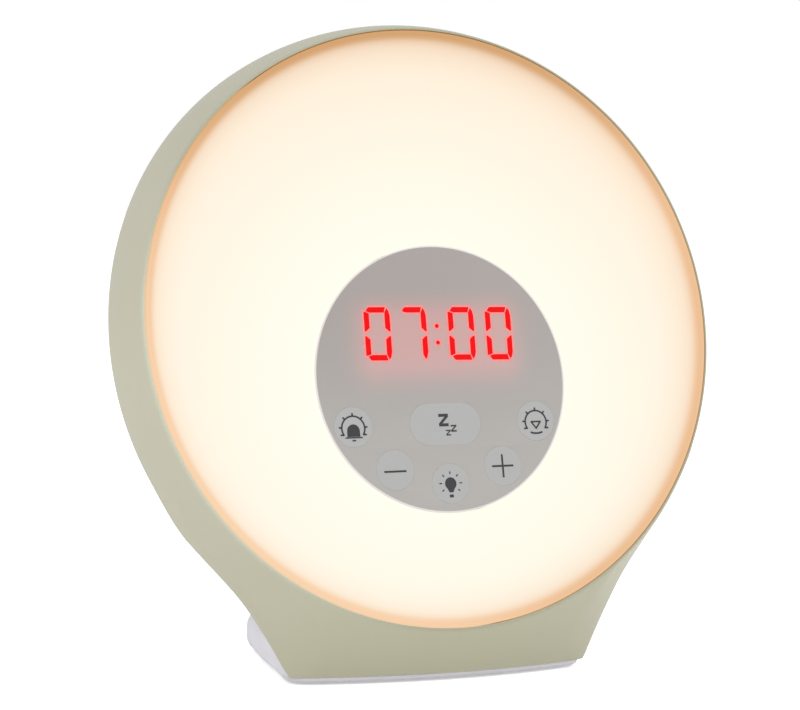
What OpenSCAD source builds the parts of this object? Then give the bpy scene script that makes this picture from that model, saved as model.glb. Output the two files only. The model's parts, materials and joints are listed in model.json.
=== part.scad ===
// Sunrise alarm clock: a lit disc that leans back on a flared foot, with its
// digits and keys in a smoked lens set low in the diffuser.
// +X is to the right of someone who faces the clock, +Y runs to its back, +Z is up.

/* [Disc] */
// Radius of the lit diffuser
diffuser_r = 79.6; // [74:0.2:92]
// Lean of the face from upright, in degrees
tilt = 12.9; // [8:0.1:17]
// Drop from the diffuser's radius to the underside of the front housing
foot_drop = 10.9; // [9:0.1:16]
// Thickness of the diffuser
diffuser_t = 2; // [1.5:0.1:3]
// Rise of the diffuser's dome at its centre
dome_rise = 1.2; // [0.6:0.1:2]
// Radius of the rounded edge of the diffuser
rim_round = 0.9; // [0.5:0.1:1.8]
// Depth of the diffuser's skirt inside the housing
skirt_h = 6; // [5.5:0.1:8]

/* [Front housing] */
// Depth of the front housing, along the face's axis
housing_depth = 17.3; // [15.5:0.1:22]
// Swell of the housing's side beyond its lip
rim_bulge = 3.9; // [2.5:0.1:5]
// Width of the lip round the diffuser
lip = 0.4; // [0.3:0.05:0.9]
// Wall of the front housing
wall = 2.4; // [1.8:0.1:3]
// Width between the lower corners of the foot
base_w = 85.6; // [78:0.2:94]
// Radius of the hollow curve from the ring down to the foot
neck_curve_r = 150; // [110:1:220]
// Swell of the neck's sides: its radius, in depths of the front housing
neck_swell = 1.4; // [1.25:0.05:2.8]
// Flare of the foot's front from the face's axis, in degrees
foot_flare = 47.7; // [42:0.1:52]

/* [Rear] */
// Depth of the domed back behind its rim
dome_h = 36; // [33:0.5:44]
// Wall of the rear cover
rear_wall = 2.2; // [1.6:0.1:3]
// Reach of the foot behind the disc's centre
foot_back = 76; // [72:0.5:90]
// Height of the rear foot above the base plate
foot_h = 8; // [7:0.1:11]
// Corner radius of the rear foot, seen from above
foot_corner_r = 25.5; // [18:0.5:30]
// Radius of the stem that stands on the rear foot
stem_r = 23; // [20:0.5:28]
// Height of the stem above the base plate
stem_h = 24; // [22:0.5:30]
// Radius of one hole in the loudspeaker grille
grille_r = 0.9; // [0.6:0.05:1.2]
// Spacing of the holes in the loudspeaker grille
grille_pitch = 3.4; // [3:0.1:3.8]

/* [Base] */
// Thickness of the base plate, which shows as a rim
base_t = 1.6; // [1.2:0.1:2.5]
// Height of the rubber feet below the base plate
feet_h = 0.6; // [0.4:0.1:1.5]
// Radius of a rubber foot
feet_r = 5; // [3.5:0.1:6.5]
// Diameter of the back-up coin cell
cell_d = 20; // [16:0.1:20]
// Thickness of the back-up coin cell
cell_t = 3.2; // [1.6:0.1:3.2]

/* [Display] */
// Radius of the smoked lens
lens_r = 35.4; // [34.6:0.1:37]
// Drop of the lens below the disc's centre
lens_drop = 14.5; // [13.5:0.1:17]
// Thickness of the lens
lens_t = 2.4; // [1.8:0.1:3]
// Height of a digit
digit_h = 14.3; // [12:0.1:15]
// Spacing of the digits in each pair
digit_pitch = 10.9; // [10.3:0.1:11.5]
// Height of the digits' middle above the lens's centre
digit_up = 11.9; // [11.2:0.1:12.4]
// Length of the display module
module_w = 50; // [47:0.5:52]
// Height of the display module
module_h = 18; // [17.4:0.1:18.6]

/* [Keys] */
// Radius of a round key
key_r = 5.3; // [4.6:0.05:5.6]
// Length of the snooze key
pill_w = 20.2; // [18:0.1:21]
// Height of the snooze key
pill_h = 11.2; // [10:0.1:11.6]
// Travel of a key
key_travel = 0.5; // [0.3:0.05:0.8]
// Gap round a key
key_gap = 0.15; // [0.1:0.01:0.25]
// Distance of the outer keys from the middle line
outer_key_x = 26; // [24.8:0.1:26.4]
// Height of the outer keys and the snooze key below the lens's centre
upper_key_drop = 12.1; // [11.6:0.1:12.6]
// Distance of the minus and plus keys from the middle line
inner_key_x = 15.3; // [14.2:0.1:16]
// Height of the minus and plus keys below the lens's centre
inner_key_drop = 23.7; // [23.3:0.1:24.4]
// Height of the light key below the lens's centre
light_key_drop = 27.8; // [27.2:0.1:28.2]

/* [Lamp] */
// Number of LEDs in the lamp
led_count = 16; // [8:2:24]
// Distance of the reflector's floor behind the disc's edge
reflector_depth = 24; // [21:0.5:26]

/* [Hidden] */
$fn = 96;

sage = [0.76, 0.75, 0.67];
white = [0.88, 0.87, 0.90];
opal = [1.0, 0.97, 0.9];
board_green = [0.12, 0.36, 0.2];
steel = [0.75, 0.76, 0.78];

big = 400;              // larger than the clock, for cutting it
edge_steps = 6;         // straight steps in a rounded edge
fit_gap = 0.2;          // clearance between parts that drop into each other
slip = 0.1;             // clearance between parts that lie on each other
screw_r = 1.25;         // self-tapping screw
screw_head_r = 2.5;
screw_head_h = 1.6;
boss_r = 2.7;

// heights above the table, and places along the world's axes
shell_z = feet_h + base_t;                       // underside of both housings
disc_z = diffuser_r + foot_drop + shell_z;
lip_r = diffuser_r + fit_gap + lip;
disc_y = -(foot_back - lip_r * sin(tilt)) / 2;   // puts the origin under the middle
rim_r = lip_r + rim_bulge;

// front housing: the side is an arc that runs straight back where it ends
bulge_r = (housing_depth * housing_depth + rim_bulge * rim_bulge) / (2 * rim_bulge);
bulge_x = rim_r - bulge_r;
ledge_t = 1.5;
ledge_w = 5.5;
ledge_r = diffuser_r - ledge_w;
flare_slope = tan(foot_flare);
flare_skew = 1 / cos(foot_flare);

// neck: arcs outside the outline, all but tangent to the ring, through the base corners
neck_bite = 0.12;       // how far the arcs cross into the ring, so that they meet it in a line
corner_u = (shell_z - disc_z + housing_depth * sin(tilt)) / cos(tilt);
corner_d = norm([base_w / 2, corner_u]);
corner_a = atan2(-corner_u, base_w / 2);
reach_d = rim_r + neck_curve_r;
swing_a = acos((reach_d * reach_d + corner_d * corner_d - neck_curve_r * neck_curve_r)
    / (2 * reach_d * corner_d));
neck_a = corner_a - swing_a;
neck_x = (reach_d - neck_bite) * cos(neck_a);
neck_u = -(reach_d - neck_bite) * sin(neck_a);
tangent_x = rim_r * cos(neck_a);
tangent_u = -rim_r * sin(neck_a);

// rear cover: the dome is part of a sphere, so it meets its rim in a line
seam_inset = 1.1;
band_t = 1.5;
dome_rim_r = rim_r - seam_inset;
dome_r = (dome_rim_r * dome_rim_r + dome_h * dome_h) / (2 * dome_h);
dome_n = dome_r - dome_h - housing_depth - band_t;
stem_inset = 4;
stem_y = disc_y + foot_back - stem_r - 18;
foot_front_w = base_w / 2 - 0.6;
foot_taper = 10.5;      // how far the rear foot narrows on each side

// lamp and display, along the face's axis
dome_edge_n = 0.4;
lens_n = dome_edge_n + 0.8;
lens_back = lens_n - lens_t;
hub_n = lens_back - slip;
hub_r = lens_r + 2.4;
hub_wall = 1.4;
hub_seat_w = 2.6;
hub_seat_t = 1.4;
floor_n = -reflector_depth;
panel_t = 1.6;
board_t = 1.6;
module_d = 7;
module_n = hub_n - 0.4;
board_n = module_n - module_d - fit_gap;
board_r = hub_r - hub_wall - fit_gap;
flange_w = 0.9;
flange_t = 0.8;
flange_n = hub_n - flange_t;
stem_key_r = 1.9;
switch_w = 6;
switch_h = 3.4;
plunger_r = 1.6;
plunger_out = 1.1;
lamp_inner_r = hub_r + 0.6;
lamp_outer_r = hub_r + 13;
led_r = (lamp_inner_r + lamp_outer_r) / 2;
led_w = 5;
led_h = 1.6;
floor_r = lamp_outer_r + lens_drop + 1.2;
dish_rim_r = ledge_r + 1;
post_d = board_r - boss_r - 0.6;
post_angles = [28, 152, 222, -42];

// digits
stroke = 1.7;
digit_w = 7.9;
colon_space = 13.7;
segment_gap = 0.35;
slant_y = digit_h / 2 - stroke / 2;

// keys: name, x, drop below the lens's centre, extra half length
keys = [
    ["alarm", -outer_key_x, upper_key_drop, 0],
    ["snooze", 0, upper_key_drop, (pill_w - pill_h) / 2],
    ["sunset", outer_key_x, upper_key_drop, 0],
    ["minus", -inner_key_x, inner_key_drop, 0],
    ["plus", inner_key_x, inner_key_drop, 0],
    ["light", 0, light_key_drop, 0]
];
function key_radius(k) = k[3] > 0 ? pill_h / 2 : key_r;

// loudspeaker, measured along the face's axis
speaker_r = 20;
speaker_inner_z = dome_n - sqrt(pow(dome_r - rear_wall, 2) - speaker_r * speaker_r);
gasket_t = 1;
gasket_w = 2.6;
gasket_n = speaker_inner_z + 0.6;
frame_t = 1.2;
speaker_screw_r = 0.6;
speaker_screw_l = 1.6;  // of the screw in the rear cover
basket_h = 8;
magnet_r = 11;
magnet_h = 6;
grille_rings = 4;

// power, at the back of the stem
power_z = shell_z + 6.2;
power_w = 26;
power_back = stem_y + 15;
power_l = 34;
power_screw_x = power_w / 2 - 4;
power_screw_y = power_back - 6;
inlet_w = 9;
inlet_h = 11;
inlet_l = 14;
inlet_r = 3.2;
inlet_pin_r = 1;
inlet_z = power_z + board_t + inlet_h / 2;
inlet_face_y = stem_y + stem_r - rear_wall - 0.8;
inlet_hole_r = inlet_r + 0.8;

// battery, under the neck
cell_y = disc_y + 10;
cell_r = cell_d / 2;
door_t = 1;
door_r = cell_r + 2.4;
door_ear = 7.5;
door_ear_r = 4.4;
cup_r = cell_r + 0.5;
cup_wall = 1.3;
cup_floor_z = shell_z + 0.6;
door_screw_r = 0.9;
door_head_r = 1.7;
door_ear_x = door_r + door_ear - door_ear_r;
cell_z = feet_h + door_t + slip;
roof_z = cell_z + cell_t + 1;
roof_t = 1.2;

// screws
housing_screw_d = diffuser_r - 1.6;
housing_screw_angles = [48, 132, 218, 322];
seat_n = -housing_depth - 2.4;
seat_t = -housing_depth - slip - seat_n;
side_screw_y = 24;
side_screw_x = foot_side_x(side_screw_y) - rear_wall - boss_r + 0.6;
base_screws_at = [[-side_screw_x, side_screw_y], [side_screw_x, side_screw_y],
    [-14, foot_back - 12], [14, foot_back - 12]];
feet_at = [[-31, 4], [31, 4], [-24, foot_back - 24], [24, foot_back - 24]];

module on_face() {
    translate([0, disc_y, disc_z]) rotate([90 - tilt, 0, 0]) children();
}
module on_lens() {
    on_face() translate([0, -lens_drop, 0]) children();
}
module on_base() {
    translate([0, disc_y, 0]) children();
}
module above(z) {
    translate([-big / 2, -big / 2, z]) cube([big, big, big]);
}
module behind(n) {
    on_face() translate([-big / 2, -big / 2, n - big]) cube([big, big, big]);
}
module ring_of(r_out, r_in, n_low, n_high) {
    translate([0, 0, n_low]) difference() {
        cylinder(r = r_out, h = n_high - n_low);
        translate([0, 0, -1]) cylinder(r = r_in, h = n_high - n_low + 2);
    }
}

// keyhole outline of the ring's neck, g inside its surface
module neck_outline(g) {
    difference() {
        translate([-tangent_x, -big / 2]) square([2 * tangent_x, tangent_u + big / 2]);
        for (side = [-1, 1]) translate([side * neck_x, neck_u])
            circle(r = neck_curve_r + g, $fn = 240);
    }
}

// ring part of the front housing, g inside its surface
module ring_body(g) {
    back = -housing_depth - (g > 0 ? 1 : 0);
    rotate_extrude($fn = 180) union() {
        intersection() {
            translate([bulge_x, -housing_depth]) circle(r = bulge_r - g, $fn = 240);
            translate([0, back]) square([big, -back]);
        }
        translate([0, back]) square([bulge_x, -back]);
    }
}

// what the neck's hollow flanks cut away: they swell towards the back, more than the ring
module flank_cut(g, d) {
    swell_r = neck_swell * housing_depth;
    centre_r = neck_curve_r + swell_r;
    translate([neck_x, neck_u, 0]) rotate_extrude($fn = 240) difference() {
        translate([0, -d - 1]) square([centre_r, d + 2]);
        translate([centre_r, -housing_depth]) circle(r = swell_r - g, $fn = 240);
    }
}

// flared body of the foot, g inside its surface, back to depth d; its top lies in the ring
module foot_body(g, d) {
    top = 0.5;
    r_top = lip_r - 0.15 - g * flare_skew;
    intersection() {
        translate([0, 0, -d]) linear_extrude(d - top)
            translate([-tangent_x, -big / 2]) square([2 * tangent_x, tangent_u + big / 2]);
        translate([0, 0, -d])
            cylinder(h = d - top, r1 = r_top + d * flare_slope, r2 = r_top + top * flare_slope,
                $fn = 180);
    }
}
module foot_form(g, d) {
    difference() {
        foot_body(g, d);
        flank_cut(g, d);
        mirror([1, 0, 0]) flank_cut(g, d);
    }
}

module housing_posts() {
    for (a = housing_screw_angles) rotate([0, 0, a]) translate([housing_screw_d, 0, 0])
        children();
}

module front_housing() {
    ledge_n = -skirt_h - ledge_t;
    color(sage) difference() {
        union() {
            difference() {
                union() {
                    on_face() ring_body(0);
                    intersection() {
                        on_face() foot_form(0, housing_depth);
                        above(shell_z);
                    }
                }
                on_face() {
                    translate([0, 0, -skirt_h]) cylinder(r = diffuser_r + fit_gap, h = 20);
                    translate([0, 0, ledge_n - 1]) cylinder(r = ledge_r, h = 20);
                    intersection() {
                        ring_body(wall);
                        translate([0, 0, ledge_n - big]) cylinder(r = big, h = big);
                    }
                    intersection() {
                        foot_form(wall, housing_depth + 1);
                        translate([0, 0, ledge_n - 1 - big]) cylinder(r = big, h = big);
                    }
                }
            }
            on_face() housing_posts() translate([0, 0, -housing_depth])
                cylinder(r = boss_r, h = housing_depth + ledge_n + 0.2, $fn = 48);
        }
        on_face() housing_posts() translate([0, 0, -housing_depth - 1])
            cylinder(r = screw_r, h = 8, $fn = 32);
    }
}

// outline of the rear foot on the table, g inside its edge, starting at y
function foot_centre(g) = [foot_front_w - g - foot_corner_r - foot_taper,
    foot_back - foot_corner_r];
function side_angle(g) = let (c = foot_centre(g) - [foot_front_w - g, 0])
    atan2(c[1], c[0]) - asin((foot_corner_r - g) / norm(c));
function foot_side_x(y) = foot_front_w + y / tan(side_angle(0));
module foot_outline(g, front) {
    r = foot_corner_r - g;
    cx = foot_centre(g)[0];
    cy = foot_centre(g)[1];
    from = side_angle(g) - 90;
    side = [for (i = [0:12]) let (a = from + (90 - from) * i / 12)
        [cx + r * cos(a), cy + r * sin(a)]];
    half = concat([[foot_front_w - g, front], [foot_front_w - g, 0]], side);
    polygon(concat(half, [for (i = [len(half) - 1:-1:0]) [-half[i][0], half[i][1]]]));
}

// outer form of the rear cover, g inside its surface
module dome_body(g) {
    on_face() intersection() {
        translate([0, 0, dome_n]) sphere(r = dome_r - g, $fn = 180);
        translate([0, 0, -big]) cylinder(r = dome_rim_r - g, h = big - housing_depth
            + (g > 0 ? 1 : 0), $fn = 180);
    }
}
module stem_body(g) {
    ahead = g > 0 ? 1 : -0.5;
    below = g > 0 ? 1 : 0;
    hull() {
        on_face() translate([0, 0, -housing_depth - band_t - 0.5])
            linear_extrude(band_t + 0.5 + ahead) polygon([
                [tangent_x - stem_inset - g, tangent_u - g],
                [base_w / 2 - stem_inset - g, corner_u + 1 - below],
                [g + stem_inset - base_w / 2, corner_u + 1 - below],
                [g + stem_inset - tangent_x, tangent_u - g]]);
        translate([0, stem_y, shell_z - below])
            cylinder(r = stem_r - g, h = stem_h - g + below, $fn = 32);
    }
}
module foot_slab(g) {
    below = g > 0 ? 1 : 0;
    intersection() {
        on_base() translate([0, 0, shell_z - below])
            linear_extrude(foot_h - g + below) foot_outline(g, -30);
        behind(-housing_depth - g);
    }
}
module neck_plate() {
    intersection() {
        on_face() translate([0, 0, -housing_depth - band_t]) linear_extrude(band_t)
            neck_outline(seam_inset);
        above(shell_z);
    }
}

module rear_cover() {
    color(white) difference() {
        union() {
            difference() {
                union() {
                    dome_body(0);
                    neck_plate();
                    stem_body(0);
                    foot_slab(0);
                }
                dome_body(rear_wall);
                stem_body(rear_wall);
                foot_slab(rear_wall);
            }
            intersection() {
                on_face() housing_posts() translate([0, 0, seat_n - 20])
                    cylinder(r = screw_head_r + 1.5, h = 20 + seat_t, $fn = 48);
                dome_body(0.2);
            }
            on_face() translate([0, 0, gasket_n - 8]) intersection() {
                ring_of(speaker_r + 0.6, speaker_r - gasket_w, 0, 8);
                translate([0, 0, dome_n - gasket_n + 8]) sphere(r = dome_r - 0.8, $fn = 180);
            }
            for (p = base_screws_at) on_base() translate([p[0], p[1], shell_z])
                cylinder(r = boss_r, h = foot_h - 1, $fn = 48);
        }
        on_face() housing_posts() {
            translate([0, 0, seat_n - 30]) cylinder(r = screw_head_r + 0.3, h = 30, $fn = 48);
            translate([0, 0, seat_n - 1]) cylinder(r = screw_r + 0.25, h = 9, $fn = 32);
        }
        on_face() {
            translate([0, 0, gasket_n - 12]) cylinder(r = grille_r, h = 12, $fn = 24);
            for (ring = [1:grille_rings], i = [0:6 * ring - 1]) rotate([0, 0, 60 * i / ring])
                translate([grille_pitch * ring, 0, gasket_n - 12])
                    cylinder(r = grille_r, h = 12, $fn = 24);
        }
        on_face() speaker_holes() translate([0, 0, gasket_n - speaker_screw_l - slip])
            cylinder(r = speaker_screw_r + slip / 2, h = speaker_screw_l + 1, $fn = 24);
        for (p = base_screws_at) on_base() translate([p[0], p[1], shell_z - 1])
            cylinder(r = screw_r, h = foot_h - 1, $fn = 32);
        translate([0, inlet_face_y - 1, inlet_z]) rotate([-90, 0, 0])
            cylinder(r = inlet_hole_r, h = 30, $fn = 48);
    }
}

// thin plate under both housings, with the battery's well
module base_plate() {
    color(white) difference() {
        union() {
            intersection() {
                on_base() translate([0, 0, feet_h]) linear_extrude(base_t)
                    foot_outline(0, -40);
                on_face() translate([0, 0, -big / 2])
                    cylinder(h = big / 2, r1 = lip_r + big / 2 * flare_slope - 0.8,
                        r2 = lip_r - 0.8, $fn = 180);
            }
            translate([0, cell_y, shell_z - 0.2]) linear_extrude(cup_floor_z - shell_z + 0.2)
                door_outline(1.6);
            for (side = [-1, 1]) translate([side * power_screw_x, power_screw_y, feet_h + 1])
                cylinder(r = boss_r, h = power_z - feet_h - 1, $fn = 48);
        }
        translate([0, cell_y, feet_h - 1]) linear_extrude(door_t + 1 + slip)
            door_outline(fit_gap);
        translate([0, cell_y, feet_h]) cylinder(r = cup_r, h = 10);
        translate([door_ear_x, cell_y, feet_h]) cylinder(r = door_screw_r, h = 10, $fn = 32);
        for (p = base_screws_at) on_base() {
            translate([p[0], p[1], feet_h - 1]) cylinder(r = screw_r + 0.2, h = 9, $fn = 32);
            translate([p[0], p[1], feet_h - 1]) cylinder(r = screw_head_r + 0.2, h = 1.8, $fn = 48);
        }
        for (side = [-1, 1]) translate([side * power_screw_x, power_screw_y, feet_h + 2])
            cylinder(r = screw_r, h = 20, $fn = 32);
    }
}

// opal cap: a very shallow dome, a rounded edge and a skirt
function dome_point(r, t) = [r, dome_edge_n + t + dome_rise * (1 - pow(r / diffuser_r, 2))];
module diffuser_profile() {
    flat_r = diffuser_r - rim_round;
    edge_n = dome_point(flat_r, 0)[1];
    outer = [for (i = [0:8]) dome_point(flat_r * i / 8, 0)];
    round_out = [for (i = [1:edge_steps]) let (a = 90 - 90 * i / edge_steps)
        [flat_r + rim_round * cos(a), edge_n - rim_round * (1 - sin(a))]];
    inner_r = diffuser_r - diffuser_t;
    inner = [for (i = [8:-1:0]) dome_point(inner_r * i / 8, -diffuser_t)];
    polygon(concat(outer, round_out, [[diffuser_r, -skirt_h], [inner_r, -skirt_h]], inner));
}
module diffuser() {
    color(opal) on_face() difference() {
        rotate_extrude($fn = 180) diffuser_profile();
        translate([0, -lens_drop, -20]) cylinder(r = lens_r + fit_gap, h = 40);
    }
}

// outline of a key, grown by g
module key_outline(k, g) {
    r = key_radius(k) + g;
    if (k[3] > 0) {
        for (side = [-1, 1]) translate([side * k[3], 0]) circle(r = r);
        translate([-k[3], -r]) square([2 * k[3], 2 * r]);
    } else {
        circle(r = r);
    }
}
module at_key(k) {
    on_lens() translate([k[1], -k[2], 0]) children();
}

module display_lens() {
    color([0.66, 0.66, 0.69]) on_lens() difference() {
        translate([0, 0, lens_back]) cylinder(r = lens_r, h = lens_t);
        for (k = keys) translate([k[1], -k[2], lens_back - 1])
            linear_extrude(lens_t + 2) key_outline(k, key_gap);
    }
}

module display_hub() {
    color([0.2, 0.2, 0.21]) on_lens() {
        difference() {
            union() {
                ring_of(hub_r, hub_r - hub_wall, floor_n, hub_n);
                ring_of(hub_r - hub_wall / 2, lens_r - hub_seat_w + hub_wall, hub_n - hub_seat_t, hub_n);
                for (a = post_angles) rotate([0, 0, a]) translate([post_d, 0, board_n])
                    cylinder(r = boss_r, h = hub_n - board_n, $fn = 48);
            }
            for (a = post_angles) rotate([0, 0, a]) translate([post_d, 0, board_n - 1])
                cylinder(r = screw_r, h = 7, $fn = 32);
            for (k = keys) translate([k[1], -k[2], board_n]) linear_extrude(20)
                key_outline(k, flange_w + 2 * key_gap);
        }
    }
}

module reflector() {
    color([0.95, 0.95, 0.94]) on_face() difference() {
        rotate_extrude($fn = 120) polygon([
            [0, floor_n], [floor_r, floor_n], [dish_rim_r, -skirt_h - ledge_t - slip],
            [dish_rim_r, -skirt_h - ledge_t - slip - panel_t * 2],
            [floor_r + panel_t / 2, floor_n - panel_t], [0, floor_n - panel_t]]);
        translate([0, -lens_drop, floor_n - 10]) cylinder(r = hub_r - 5, h = 20);
    }
}

// three screws, each midway between two LEDs
module lamp_screws() {
    for (i = [0:2]) rotate([0, 0, (floor(i * led_count / 3) + 0.5) * 360 / led_count])
        translate([led_r, 0, 0]) children();
}
module lamp_board() {
    color(white) on_lens() difference() {
        ring_of(lamp_outer_r, lamp_inner_r, floor_n + slip, floor_n + slip + board_t);
        lamp_screws() translate([0, 0, floor_n - 1])
            cylinder(r = screw_r + 0.2, h = 6, $fn = 32);
    }
}

module lamp_leds() {
    color([1, 0.93, 0.6]) on_lens() for (i = [0:led_count - 1])
        rotate([0, 0, 360 * i / led_count])
            translate([led_r - led_w / 2, -led_w / 2, floor_n + slip + board_t])
                cube([led_w, led_w, led_h]);
}

module control_board() {
    color(board_green) on_lens() difference() {
        translate([0, 0, board_n - board_t]) cylinder(r = board_r, h = board_t);
        for (a = post_angles) rotate([0, 0, a]) translate([post_d, 0, board_n - board_t - 1])
            cylinder(r = screw_r + 0.2, h = board_t + 2, $fn = 32);
    }
}

// digits: each segment is a bar with mitred ends, named a to g as usual
segments = [["a", 0, 1, 0], ["b", 1, 0.5, 90], ["c", 1, -0.5, 90], ["d", 0, -1, 0],
    ["e", -1, -0.5, 90], ["f", -1, 0.5, 90], ["g", 0, 0, 0]];
lit = [["a", "b", "c", "d", "e", "f"], ["a", "b", "c"],
    ["a", "b", "c", "d", "e", "f"], ["a", "b", "c", "d", "e", "f"]];
digit_x = [-colon_space / 2 - digit_pitch, -colon_space / 2, colon_space / 2,
    colon_space / 2 + digit_pitch];
module bar(length) {
    h = stroke / 2;
    l = length / 2;
    polygon([[-l, 0], [-l + h, h], [l - h, h], [l, 0], [l - h, -h], [-l + h, -h]]);
}
module digit_set(grow, all_on) {
    for (d = [0:3]) translate([digit_x[d], digit_up])
        for (s = segments) if (all_on || len([for (n = lit[d]) if (n == s[0]) n]) > 0)
            translate([s[1] * (digit_w - stroke) / 2, s[2] * slant_y]) rotate(s[3])
                bar((s[3] == 0 ? digit_w - stroke : slant_y) - segment_gap + grow);
    for (side = [-1, 1]) translate([0, digit_up + side * digit_h / 6])
        circle(r = stroke / 2 + grow / 4, $fn = 32);
}

module display_module() {
    color([0.3, 0.3, 0.32]) on_lens() difference() {
        translate([-module_w / 2, digit_up - module_h / 2, module_n - module_d])
            cube([module_w, module_h, module_d]);
        translate([0, 0, module_n - 3]) linear_extrude(6) digit_set(0.2, true);
    }
}
module digit_segments() {
    color([1, 0.08, 0.1]) on_lens() translate([0, 0, module_n - 3]) linear_extrude(3)
        digit_set(0, true);
}

module key(k) {
    color([0.71, 0.71, 0.72]) at_key(k) {
        translate([0, 0, flange_n]) linear_extrude(flange_t)
            key_outline(k, flange_w);
        translate([0, 0, flange_n]) linear_extrude(lens_n - flange_n)
            key_outline(k, 0);
        translate([0, 0, board_n + switch_h + plunger_out])
            cylinder(r = stem_key_r, h = flange_n - board_n - switch_h - plunger_out + 0.2,
                $fn = 48);
    }
}
module plunger(k) {
    color([0.15, 0.15, 0.15]) at_key(k) translate([0, 0, board_n + key_travel + 0.6])
        cylinder(r = plunger_r, h = switch_h + plunger_out - key_travel - 0.6, $fn = 48);
}
module switch_bodies() {
    color([0.1, 0.1, 0.11]) for (k = keys) at_key(k) difference() {
        translate([-switch_w / 2, -switch_w / 2, board_n])
            cube([switch_w, switch_w, switch_h]);
        translate([0, 0, board_n + 0.4]) cylinder(r = plunger_r + slip, h = 10, $fn = 48);
    }
}

// chips behind the control board: x, y, width, height, thickness
chips_n = board_n - board_t;
chips = [[-6, -6, 12, 12, 1.5], [-24, 4, 10, 6, 1.6], [12, 6, 10, 6, 1.6], [-4, -20, 8, 4, 2]];
module control_chips() {
    color([0.09, 0.09, 0.1]) on_lens() for (c = chips)
        translate([c[0], c[1], chips_n - c[4]]) cube([c[2], c[3], c[4]]);
}
capacitors_at = [[-18, -8], [18, -8], [-10, -16]];
capacitor_r = 2.5;
capacitor_h = 7;
module capacitors() {
    color([0.2, 0.22, 0.3]) on_lens() for (p = capacitors_at)
        translate([p[0], p[1], chips_n - capacitor_h])
            cylinder(r = capacitor_r, h = capacitor_h, $fn = 48);
}

module speaker_holes() {
    for (a = [45:90:315]) rotate([0, 0, a]) translate([speaker_r - 1.3, 0, 0]) children();
}
module speaker_frame() {
    color(steel) on_face() difference() {
        translate([0, 0, gasket_n + gasket_t]) rotate_extrude() polygon([
            [0, 0], [speaker_r, 0], [speaker_r, frame_t], [speaker_r - 3, frame_t],
            [magnet_r + 1, basket_h], [0, basket_h]]);
        translate([0, 0, gasket_n + gasket_t]) rotate_extrude() polygon([
            [0, -1], [speaker_r - 4, -1], [speaker_r - 4, frame_t], [magnet_r, basket_h - 1],
            [0, basket_h - 1]]);
        speaker_holes() translate([0, 0, gasket_n])
            cylinder(r = speaker_screw_r + slip, h = frame_t + 4, $fn = 24);
    }
}
module speaker_magnet() {
    color([0.3, 0.3, 0.32]) on_face()
        translate([0, 0, gasket_n + gasket_t + basket_h]) cylinder(r = magnet_r, h = magnet_h);
}
module speaker_cone() {
    color([0.1, 0.1, 0.1]) on_face() translate([0, 0, gasket_n + gasket_t])
        rotate_extrude() polygon([[0, 3], [4, 3.4], [speaker_r - 6, 0.6],
            [speaker_r - 4.1, 0.6], [speaker_r - 4.1, 1.1], [speaker_r - 6, 1.1],
            [4.4, 4.2], [4.4, basket_h - 1.1], [0, basket_h - 1.1]]);
}
module speaker_gasket() {
    color([0.15, 0.15, 0.15]) on_face() difference() {
        ring_of(speaker_r, speaker_r - gasket_w, gasket_n, gasket_n + gasket_t);
        speaker_holes() translate([0, 0, gasket_n - 1])
            cylinder(r = speaker_screw_r + slip, h = gasket_t + 2, $fn = 24);
    }
}

module power_board() {
    color(board_green) difference() {
        translate([-power_w / 2, power_back - power_l, power_z])
            cube([power_w, power_l, board_t]);
        for (side = [-1, 1]) translate([side * power_screw_x, power_screw_y, power_z - 1])
            cylinder(r = screw_r + 0.2, h = 10, $fn = 32);
    }
}
module inlet_body() {
    color([0.08, 0.08, 0.08]) difference() {
        translate([-inlet_w / 2, inlet_face_y - inlet_l, power_z + board_t])
            cube([inlet_w, inlet_l, inlet_h]);
        translate([0, inlet_face_y - inlet_l + 2, inlet_z]) rotate([-90, 0, 0])
            cylinder(r = inlet_r, h = inlet_l, $fn = 48);
    }
}
module inlet_pin() {
    color(steel) translate([0, inlet_face_y - inlet_l + 2, inlet_z]) rotate([-90, 0, 0])
        cylinder(r = inlet_pin_r, h = inlet_l - 3, $fn = 48);
}

module cell_holder() {
    color([0.1, 0.1, 0.1]) difference() {
        translate([0, cell_y, cup_floor_z])
            cylinder(r = cup_r + cup_wall, h = roof_z + roof_t - cup_floor_z);
        translate([0, cell_y, cup_floor_z - 1]) cylinder(r = cup_r, h = roof_z - cup_floor_z + 1);
        translate([0, cell_y, cup_floor_z]) cylinder(r = 1.4, h = 10, $fn = 32);
    }
}
module coin_cell() {
    color(steel) translate([0, cell_y, cell_z]) {
        cylinder(r = cell_r - 1.2, h = 0.4);
        translate([0, 0, 0.3]) cylinder(r = cell_r, h = cell_t - 0.3);
    }
}
module cell_contacts() {
    color([0.85, 0.75, 0.45]) translate([0, cell_y, 0]) {
        translate([0, 0, roof_z - slip - 0.3]) cylinder(r = 5, h = 0.3, $fn = 48);
        translate([0, 0, cell_z + cell_t + slip])
            cylinder(r = 2, h = roof_z - cell_z - cell_t - 2 * slip - 0.1, $fn = 32);
        translate([0, 0, roof_z - slip - 0.1]) cylinder(r = 0.8, h = roof_t + 1.2, $fn = 32);
    }
}
module door_outline(g) {
    circle(r = door_r + g);
    translate([0, -door_ear_r - g]) square([door_ear_x, 2 * (door_ear_r + g)]);
    translate([door_ear_x, 0]) circle(r = door_ear_r + g, $fn = 48);
}
module battery_door() {
    color(white) difference() {
        translate([0, cell_y, feet_h]) linear_extrude(door_t) door_outline(0);
        translate([door_ear_x, cell_y, feet_h - 1])
            cylinder(r = door_screw_r + 0.3, h = 4, $fn = 32);
        translate([door_ear_x, cell_y, feet_h - 1])
            cylinder(r = door_head_r + fit_gap, h = 1.5, $fn = 48);
    }
}
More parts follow.
